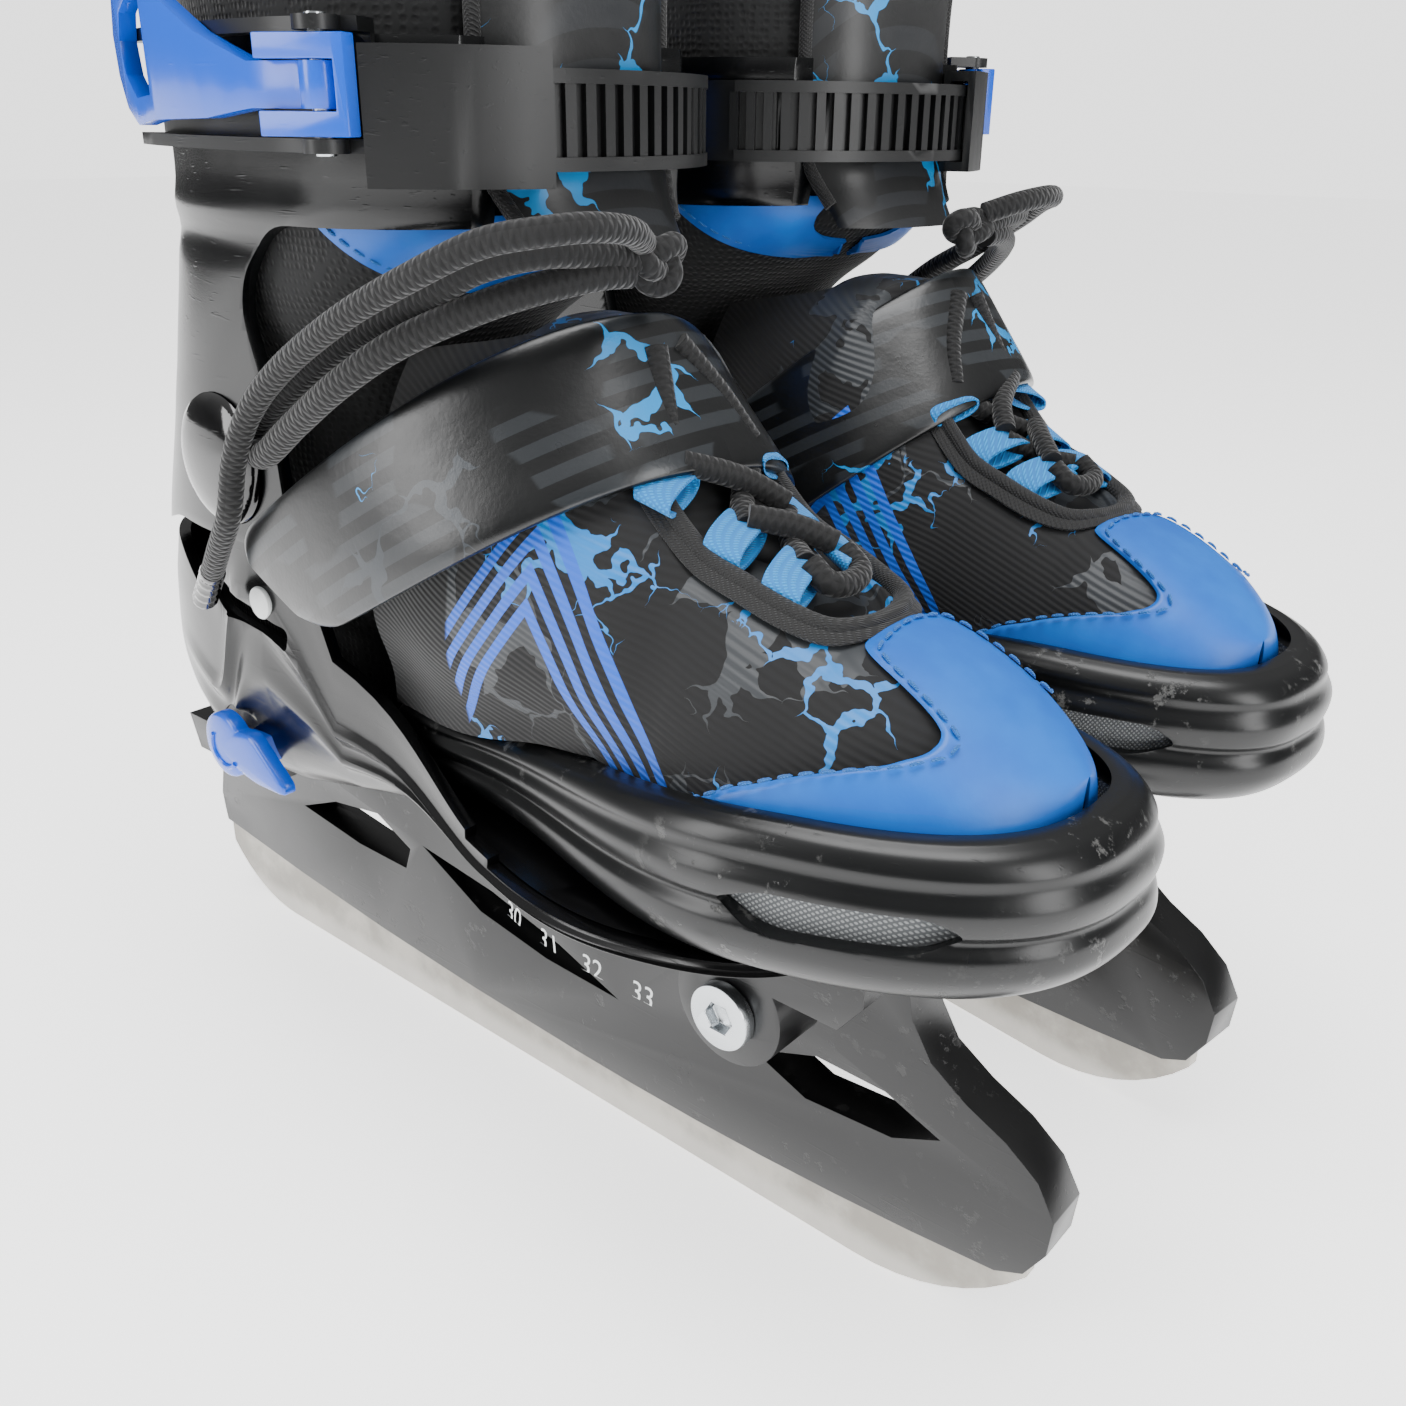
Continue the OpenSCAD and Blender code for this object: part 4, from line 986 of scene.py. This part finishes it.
# %% [markdown]
# ## The throat
# The opening over the instep is bound with black tape. Webbing loops stand inside its edge, and the lace
# crosses between them. A binding is a soft roll: a tube that follows the edge.

# %% Throat binding, loops and lace row
LOOPS = [(45.5, -13.6), (55.5, -9.4), (66, -8.4)]


def on_boot(x, y, lift=0.0):
    """The point on the forefoot above a place in plan, found by sliding along the arch."""
    turns = np.linspace(0.02, math.pi - 0.02, 500)
    line = forefoot(np.full(500, float(x)), turns, grow=lift)
    k = int(np.argmin(np.abs(line[:, 1] - y)))
    return line[k]


edge = [on_boot(px, py, 0.4) for px, py in
        [(40, -14.2), (46, -14.8), (54, -14.6), (62, -14.4), (69, -13.6), (74.5, -11.4), (77.2, -7),
         (78, -1.6), (77.2, 4), (74.5, 8.4), (69, 10.4), (62, 11.2), (54, 11.4), (46, 11.4), (40, 11)]]
binding = tube("throat_binding", through(edge, 120), 1.7, 12)
both(binding, "toe", BINDING, "black_fabric", (), sharp=80)
edge_in = [on_boot(px, py, 0.1) for px, py in
           [(40, -17.6), (46, -18.2), (54, -18.0), (62, -17.8), (70, -16.8), (76.4, -14), (80, -8),
            (81, -1.6), (80, 5), (76.4, 10.8), (70, 13.6), (62, 14.6), (54, 14.8), (46, 14.8), (40, 14.4)]]
rim_line, far_line = through(edge, 120), through(edge_in, 120)
band = np.stack([rim_line + [0, 0, 0.5], (rim_line + far_line) / 2 + [0, 0, 1.0], far_line + [0, 0, 0.3]])
both(walled(grid("throat_band", band), 0.6), "toe", BINDING, "black_fabric", (), sharp=80)


def webbing_loop(x, y, side, yaw):
    """A folded loop of tape: a flat band round a narrow oval, standing from the edge to the middle."""
    a = np.linspace(0, 2 * math.pi, 40, endpoint=False)
    oval = np.stack([5.2 * signed_power(np.cos(a), 0.8), 1.9 * signed_power(np.sin(a), 0.8)], 1)
    rows = []
    foot = on_boot(x, y, 0)
    for s, w in ((1.0, -3.0), (1.0, 3.0), (0.72, 3.0), (0.72, -3.0)):
        across = oval * [mix(1, s, 0.3), s]
        px = foot[0] + w * math.cos(yaw) - across[:, 0] * math.sin(yaw) * side
        py = foot[1] + w * math.sin(yaw) * side + across[:, 0] * math.cos(yaw) * side
        pz = foot[2] + 1.6 + across[:, 1] + 0.25 * across[:, 0] - 0.35 * w
        rows.append(np.stack([px, py, pz], 1))
    return np.array(rows)


for number, (lx, ly) in enumerate(LOOPS):
    for side, name in ((1, "outer"), (-1, "inner")):
        y = ly if side == 1 else -3.2 - ly
        loop = grid(f"loop_{name}_{number}", webbing_loop(lx, y, side, 0.25), around=True, along=True)
        stands_for = ["lace_loops"] if number == 0 and side == 1 else ()
        both(loop, "toe", WEBBING, "blue_webbing", stands_for, sharp=50)

rows = []
for (xa, ya), (xb, yb) in zip(LOOPS[:-1], LOOPS[1:]):
    rows.append([(xa, ya + 3, 4.2), (mix(xa, xb, 0.5), -1.6, 4.6), (xb, -3.2 - yb - 3, 4.2)])
    rows.append([(xa, -3.2 - ya - 3, 2.6), (mix(xa, xb, 0.5), -1.6, 1.4), (xb, yb + 3, 2.6)])
rows.append([(67, -6, 3.6), (70.5, -5.5, 2.6), (71.5, -1.6, 2.2), (70.5, 2.3, 2.6), (67, 2.8, 3.6)])
rows.append([(45, -10, 3.4), (41, -9, 5.5), (37, -7, 9)])
rows.append([(45, 7, 3.4), (41, 4, 5.5), (37, -2, 9)])
for number, row in enumerate(rows):
    line = np.array([on_boot(px, py) + [0, 0, lift] for px, py, lift in row])
    both(braided(f"lace_row_{number}", evenly(through(line, 60), 1.0), 2.0), "toe", CORD, "lace_cord")

# %% [markdown]
# ## The soft boot
# Inside the shell sits a padded boot that goes on up through the cuff as a collar. It is one loft round the
# leg, from the heel to the collar's top and down inside again. Where it crosses the ankle joint it bends
# between the base and the cuff.

# %% Soft boot
def leg_mid(z):
    """Where the leg's outline is widest, front to back."""
    return mix(-43, -8, ease(135, 185, z))


def leg_back(z):
    """The back of the cuff."""
    return -84 - 18 * (1 - ease(104, 146, z))


def leg_front(z):
    """The front of the cuff's outline, which the opening cuts off."""
    return mix(40, 22, ease(140, 180, z))


def cuff_side(z):
    """Half width outside the cuff."""
    return mix(35.1, 36.4, ease(140, 185, z))


def boot_ring(z, back, front, half, power=2.4, mid=None, count=200):
    """One level outline of the soft boot."""
    middle = float(leg_mid(z)) if mid is None else mid
    return foot_ring(back, front, lambda x, y: np.full_like(x, half), 0.0,
                     lambda x, y: np.full_like(x, z), count, power, middle)


BOOT = [(84, -100.5, -16, 19.0), (88, -103.8, -16, 20.0), (98, -103.2, -16, 20.6), (108, -97.0, -16, 22.4),
        (122, -88, -16, 23.4), (136, -81.6, -16, 24.0), (146, -79.4, -14, 25.0), (155, -79.6, -9, 29.0),
        (163, -80.2, 3, 31.4), (172, -80.5, 13.5, 32.2), (185, -80.7, 14, 32.6),
        (200, -80.8, 14, 32.9), (228, -82.2, 14, 34.2),
        (245, -83.6, 14, 35.6), (250, -83.0, 13.4, 35.0), (252, -81, 12, 33)]
outer = through(BOOT, 110)
inner = outer[outer[:, 0] > 92][::-1] + [0, 6.5, -5.5, -6.5]
rings = [boot_ring(*row) for row in outer] + [boot_ring(min(row[0], 249.5), *row[1:]) for row in inner]
boot = grid("soft_boot", np.array(rings), around=True, ends=True)
for padded_boot in both(boot, "base", MESH, "black_fabric", ["boot_quarter", "collar"], sharp=70,
                        blend=("cuff", (-43, 0, 136), (-43, 0, 166))):
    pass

# %% [markdown]
# ### The tongue
# A padded tongue stands before the shin, printed like the strap and edged with a thin roll of tape. Its
# front crowns in the middle and thins towards both edges.

# %% Tongue
def tongue_front(z):
    """How far forward the tongue stands: it leans out over the instep and again at its top."""
    return 21.6 + 3.4 * (np.maximum(0, 190 - z) / 13) ** 2 + 4 * ease(205, 255, z)


def tongue_point(z, across, half, depth):
    """A point of the tongue: across from -1 to 1 of the half width, depth 0 in front to 1 behind."""
    y = across * half
    front = tongue_front(z) - y * y / 95
    thin = np.abs(across) ** 4 * 3.4
    return np.stack([front - mix(thin, 5.0, depth), y, z + 0 * y], axis=-1)


z = np.linspace(171, 257.5, 90)
half = 20 - 3.5 * (1 - ease(171, 186, z)) - 7 * ease(244, 258, z) ** 2
across = np.linspace(-1, 1, 44)
face = tongue_point(z[:, None], across[None, :], half[:, None], 0.0)
back = tongue_point(z[:, None], across[None, ::-1], half[:, None], 1.0)
tongue = grid("tongue", np.concatenate([face, back], axis=1), around=True, ends=True)
for padded_tongue in both(tongue, "cuff", TONGUE, "print_fabric", ["tongue"], sharp=60):
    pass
for side in (-1, 1):
    rim = tongue_point(z[4:-2], np.full(84, side * 1.0), half[4:-2], 0.2)
    edge_name = "outer" if side < 0 else "inner"
    both(tube(f"tongue_binding_{edge_name}", rim, 1.3, 10), "cuff", BINDING, "black_fabric", sharp=80)

# %% [markdown]
# ### Blue corner panels
# Beside the tongue the boot's front edge carries a blue coated corner, sewn along its rear edge.

# %% Corner panels
def boot_at(z, x, side, lift):
    """A point outside the soft boot at a height and an x, on the outer (-1) or inner (1) side."""
    back_at, front_at, half_at = [np.interp(z, outer[:, 0], outer[:, k]) for k in (1, 2, 3)]
    middle = leg_mid(z)
    share = np.clip((x - middle) / (front_at - middle), 0, 0.999)
    y = (half_at + lift) * (1 - share**2.4) ** (1 / 2.4)
    return np.stack([x + lift * share, side * y, z + 0 * x], axis=-1)


for side, name in ((-1, "outer"), (1, "inner")):
    s, t = np.meshgrid(np.linspace(0, 1, 24), np.linspace(0, 1, 24), indexing="ij")
    z = mix(176.5, 164.5, s)
    x = mix(mix(-12, 4, s), mix(14.0, 8.0, s), t)
    panel = walled(grid(f"corner_panel_{name}", boot_at(z, x, side, 0.7)), 0.7, 1.0)
    both(panel, "cuff", CAP_BLUE, "blue_coated", sharp=60)
    s = np.linspace(0.03, 0.97, 40)
    line = boot_at(mix(176.5, 164.5, s), mix(-12, 4, s) + 2.0, side, 1.3)
    away = np.tile([0.0, float(side), 0.0], (40, 1))
    both(stitches(f"corner_stitches_{name}", line, 2.8, 2.0, 0.3, away), "cuff", THREAD_BLUE, None)

# %% [markdown]
# ## The instep strap
# A coated strap sewn to the inner side, passed over the instep and pressed down on the outer side. Its
# section is a flat band with soft edges, carried along a cubic curve that turns as it goes down.

# %% Strap
STRAP_PATH = np.array([[42, -2, 152], [39, -33, 156.5], [8, -47.5, 131], [-23, -40.5, 114]], float)
ROOT_PATH = np.array([[42, -2, 152], [43.5, 14, 150.5], [30, 34, 137], [7, 37.2, 116]], float)
STRAP_W, STRAP_T = 27.0, 2.6


def bezier(p, t):
    """A cubic Bezier curve through four points."""
    t = np.asarray(t)[:, None]
    return (1 - t) ** 3 * p[0] + 3 * t * (1 - t) ** 2 * p[1] + 3 * t**2 * (1 - t) * p[2] + t**3 * p[3]


def strap_frame(path, first, last, t, sign):
    """Centre line, the direction across the band, and the direction out of it."""
    centre = bezier(path, t)
    ahead = unit(bezier(path, np.minimum(t + 0.01, 1.0)) - bezier(path, np.maximum(t - 0.01, 0.0)))
    across = unit(mix(unit(np.array(first, float)), unit(np.array(last, float)), t[:, None]))
    out = unit(np.cross(ahead, across)) * sign
    return centre, across, out


def strap_band(name, path, first, last, sign, tip, samples=90):
    """The band as a closed loft: a slot-shaped section, drawn in at the tip."""
    t = np.linspace(0, 1, samples)
    centre, across, out = strap_frame(path, first, last, t, sign)
    width = STRAP_W / 2 * np.where(t > 0.9, np.sqrt(np.clip(1 - ((t - 0.9) / tip) ** 2, 0.02, 1)), 1.0)
    a = np.linspace(0, 2 * math.pi, 56, endpoint=False)
    wide = signed_power(np.cos(a), 0.35)
    thick = 0.5 + 0.5 * signed_power(np.sin(a), 0.55)
    pillow = 0.35 * hump(wide, 0.0, 0.75) * (np.sin(a) > 0)
    points = (centre[:, None] + width[:, None, None] * wide[None, :, None] * across[:, None]
              + ((thick * STRAP_T + pillow)[None, :, None]) * out[:, None])
    return grid(name, points, around=True, ends=True), (centre, across, out, width)


strap, lines = strap_band("instep_strap", STRAP_PATH, (-15, 0, 22), (-27, 0, 13), 1, 0.13)
both(strap, "strap", STRAP, "strap_coated", ["instep_strap"], sharp=60)
centre, across, out, width = lines
for side, name in ((-1, "lower"), (1, "upper")):
    line = (centre + side * (width - 2.4)[:, None] * across + (STRAP_T - 0.05) * out)[2:-2]
    both(stitches(f"strap_stitches_{name}", line, 3.1, 2.3, 0.3, out[2:-2]), "strap", THREAD_BLACK, None)
root, lines = strap_band("strap_root", ROOT_PATH, (-15, 0, 22), (-26, 0, 14), -1, 0.4)
both(root, "base", STRAP, "strap_coated", sharp=60)
centre, across, out, width = lines
for side, name in ((-1, "lower"), (1, "upper")):
    line = (centre + side * (width - 2.4)[:, None] * across + (STRAP_T - 0.05) * out)[2:-2]
    both(stitches(f"root_stitches_{name}", line, 3.1, 2.3, 0.3, out[2:-2]), "base", THREAD_BLACK, None)

# %% [markdown]
# ## The cuff
# A band of the same plastic as the shell, hinged at the ankle. It is a loft of the leg's outline, cut open
# in front and by one wide window on each side. A raised welt runs round its upper edge.

# %% Cuff
def cuff_low(x):
    """Lower edge of the cuff: it drops over the ankle."""
    return mix(112.0, 118.0, ease(-90, -62, x))


rings = []
for grow, flip in ((0.0, 1), (-WALL, -1)):
    for v in np.linspace(0, 1, 48)[::flip]:
        level = mix(112, 201, v)
        welt = 0.9 * hump(v, 0.965, 0.03) + 0.5 * hump(v, 0.70, 0.03) - 0.5 * hump(v, 0.64, 0.03)
        welt = welt * (grow == 0)
        rings.append(foot_ring(float(leg_back(level)) - grow - welt, float(leg_front(level)) + grow,
                               lambda x, y, level=level: np.full_like(x, float(cuff_side(level))),
                               grow + welt,
                               lambda x, y, v=v: mix(cuff_low(x), 201.0, v), 300, 2.0, float(leg_mid(level))))
cuff = grid("cuff", np.array(rings), around=True, along=True)
window = fillet_outline([(-26.5, 80), (-25.5, 120), (-27.5, 146), (-31, 163), (-20, 174.5), (2, 174.6),
                         (60, 176), (60, 80)], 9)
cut(cuff, prism("front", [(15, 80), (80, 80), (80, 230), (15, 230)], -80, 80),
    prism("window", window, -80, 80),
    round_hole(*ANKLE, 4.3, -80, 0), round_hole(*ANKLE, 4.3, 1, 80))
rounded(cuff, 0.6)
both(cuff, "cuff", CUFF, "shell_black", ["cuff"])

# %% [markdown]
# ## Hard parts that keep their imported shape
# The holder, runner, bolts, ratchet and rivets already have their true shape in the frame. Each is copied,
# its triangles are merged, and a small bevel gives its edges the light line that a moulding has.

# %% Dressed parts
PLAIN = [
    ("runner", "base", STEEL, "steel", 0.25),
    ("blade_holder", "base", NYLON, "holder_black", 0.9),
    ("front_bolt", "base", ZINC, "bolt_steel", 0.35),
    ("bolt_sleeve", "base", ZINC, "bolt_steel", 0.35),
    ("heel_screw", "base", ZINC, "bolt_steel", 0.3),
    ("footbed", "base", LINING, "lining", 0.6),
    ("strap_rivets", "base", WHITE, "grey_plastic", 0.5),
    ("pivot_bushes", "base", RATCHET, "grey_plastic", 0.0),
    ("toe_slider", "toe", RATCHET, "grey_plastic", 0.3),
    ("button_spring", "button", SPRING, "spring_steel", 0.0),
    ("ankle_rivets", "cuff", GLOSS, "shell_black", 0.0),
    ("buckle_pin", "cuff", ZINC, "bolt_steel", 0.2),
    ("ladder_anchor", "cuff", BLUE, "blue_plastic", 0.4),
    ("ladder_strap", "cuff", RATCHET, "shell_black", 0.25),
    ("buckle_base", "cuff", RATCHET, "shell_black", 0.3),
    ("buckle_pawl", "pawl", BLUE, "blue_plastic", 0.4),
    ("buckle_lever", "lever", BLUE, "blue_plastic", 0.7),
]
for node, body, finish, slot, bevel in PLAIN:
    dressed(node, body, finish, slot, bevel)

# %% [markdown]
# ### The size button
# A drop-shaped cap whose face is gently domed and carries one raised arc. Its stem runs into the shell.

# %% Size button
drop = teardrop(0.0)
middle = drop.mean(0)
face_y = -(HEEL_WALL_Y + 2.9)
button_rows = []
DOME = ((1.0, 3.0), (1.0, 0.7), (0.97, 0.25), (0.9, 0.0), (0.6, -0.35), (0.3, -0.5), (0.02, -0.55))
for share, depth in DOME:
    ring = middle + (drop - middle) * share
    button_rows.append(np.stack([ring[:, 0], np.full(len(ring), face_y + depth), ring[:, 1]], 1))
button = grid("size_button", np.array(button_rows), around=True, ends=True)
both(button, "button", BLUE, "blue_plastic", ["size_button"], sharp=50)
stem = [(BUTTON[0] - 3, BUTTON[1] - 3), (BUTTON[0] + 3, BUTTON[1] - 3), (BUTTON[0] + 3, BUTTON[1] + 3),
        (BUTTON[0] - 3, BUTTON[1] + 3)]
both(rounded(prism("button_stem", stem, face_y + 2.5, 9.0), 0.4), "button", BLUE, "blue_plastic")
a = np.linspace(math.radians(150), math.radians(320), 40)
arc = np.stack([BUTTON[0] - 5 + 4.2 * np.cos(a), np.full(40, face_y - 0.42), BUTTON[1] + 4.2 * np.sin(a)], 1)
both(tube("button_arc", arc, 0.55, 8), "button", BLUE, "blue_plastic")

# %% [markdown]
# ## Floor and light
# A plain pale floor, a wide soft light from above and in front, and two side lights that draw long pale
# lines along the black plastic.

# %% Studio
floor_mesh = bpy.data.meshes.new("floor")
FLOOR_HALF, FLOOR_Z = 4, -0.0002
corners = [(x * FLOOR_HALF, y * FLOOR_HALF, FLOOR_Z) for x, y in ((-1, -1), (1, -1), (1, 1), (-1, 1))]
floor_mesh.from_pydata(corners, [], [(0, 1, 2, 3)])
floor = bpy.data.objects.new("floor", floor_mesh)
bpy.context.scene.collection.objects.link(floor)
floor_paint = Finish("floor_paint", "#fbfbfb", 0.9)
floor_paint.set("Emission Color", (1, 1, 1, 1))
floor_paint.set("Emission Strength", 1.6)
floor_paint.set("Specular IOR Level", 0.1)
floor_mesh.materials.append(floor_paint.material)

world = bpy.data.worlds.new("studio")
world.use_nodes = True
sky = world.node_tree.nodes["Background"]
height = world.node_tree.nodes.new("ShaderNodeSeparateXYZ")
toward = world.node_tree.nodes.new("ShaderNodeTexCoord")
glow = world.node_tree.nodes.new("ShaderNodeMapRange")
world.node_tree.links.new(toward.outputs["Generated"], height.inputs[0])
world.node_tree.links.new(height.outputs["Z"], glow.inputs["Value"])
glow.inputs["From Min"].default_value = 0.15
glow.inputs["From Max"].default_value = 0.9
glow.inputs["To Min"].default_value = 0.12
glow.inputs["To Max"].default_value = 0.7
sky.inputs["Color"].default_value = (1, 1, 1, 1)
seen = world.node_tree.nodes.new("ShaderNodeLightPath")
backdrop = world.node_tree.nodes.new("ShaderNodeMix")
world.node_tree.links.new(seen.outputs["Is Camera Ray"], backdrop.inputs[0])
world.node_tree.links.new(glow.outputs[0], backdrop.inputs[2])
backdrop.inputs[3].default_value = 2.2
world.node_tree.links.new(backdrop.outputs[0], sky.inputs["Strength"])
bpy.context.scene.world = world


def soft_light(name, place, target, size, power):
    """A square area light that faces a point."""
    data = bpy.data.lights.new(name, "AREA")
    data.shape = "RECTANGLE"
    data.size, data.size_y = size
    data.energy = power
    lamp = bpy.data.objects.new(name, data)
    lamp.location = place
    aim = (Vector(target) - Vector(place)).to_track_quat("-Z", "Y")
    lamp.rotation_euler = aim.to_euler()
    bpy.context.scene.collection.objects.link(lamp)
    return lamp


soft_light("overhead", (0.1, -0.1, 0.95), (0, 0.03, 0.1), (0.7, 0.5), 9)
soft_light("front_left", (-0.35, -0.75, 0.45), (0, 0, 0.1), (0.35, 0.6), 5)
soft_light("front_right", (0.85, -0.05, 0.4), (0, 0.05, 0.1), (0.3, 0.6), 4)
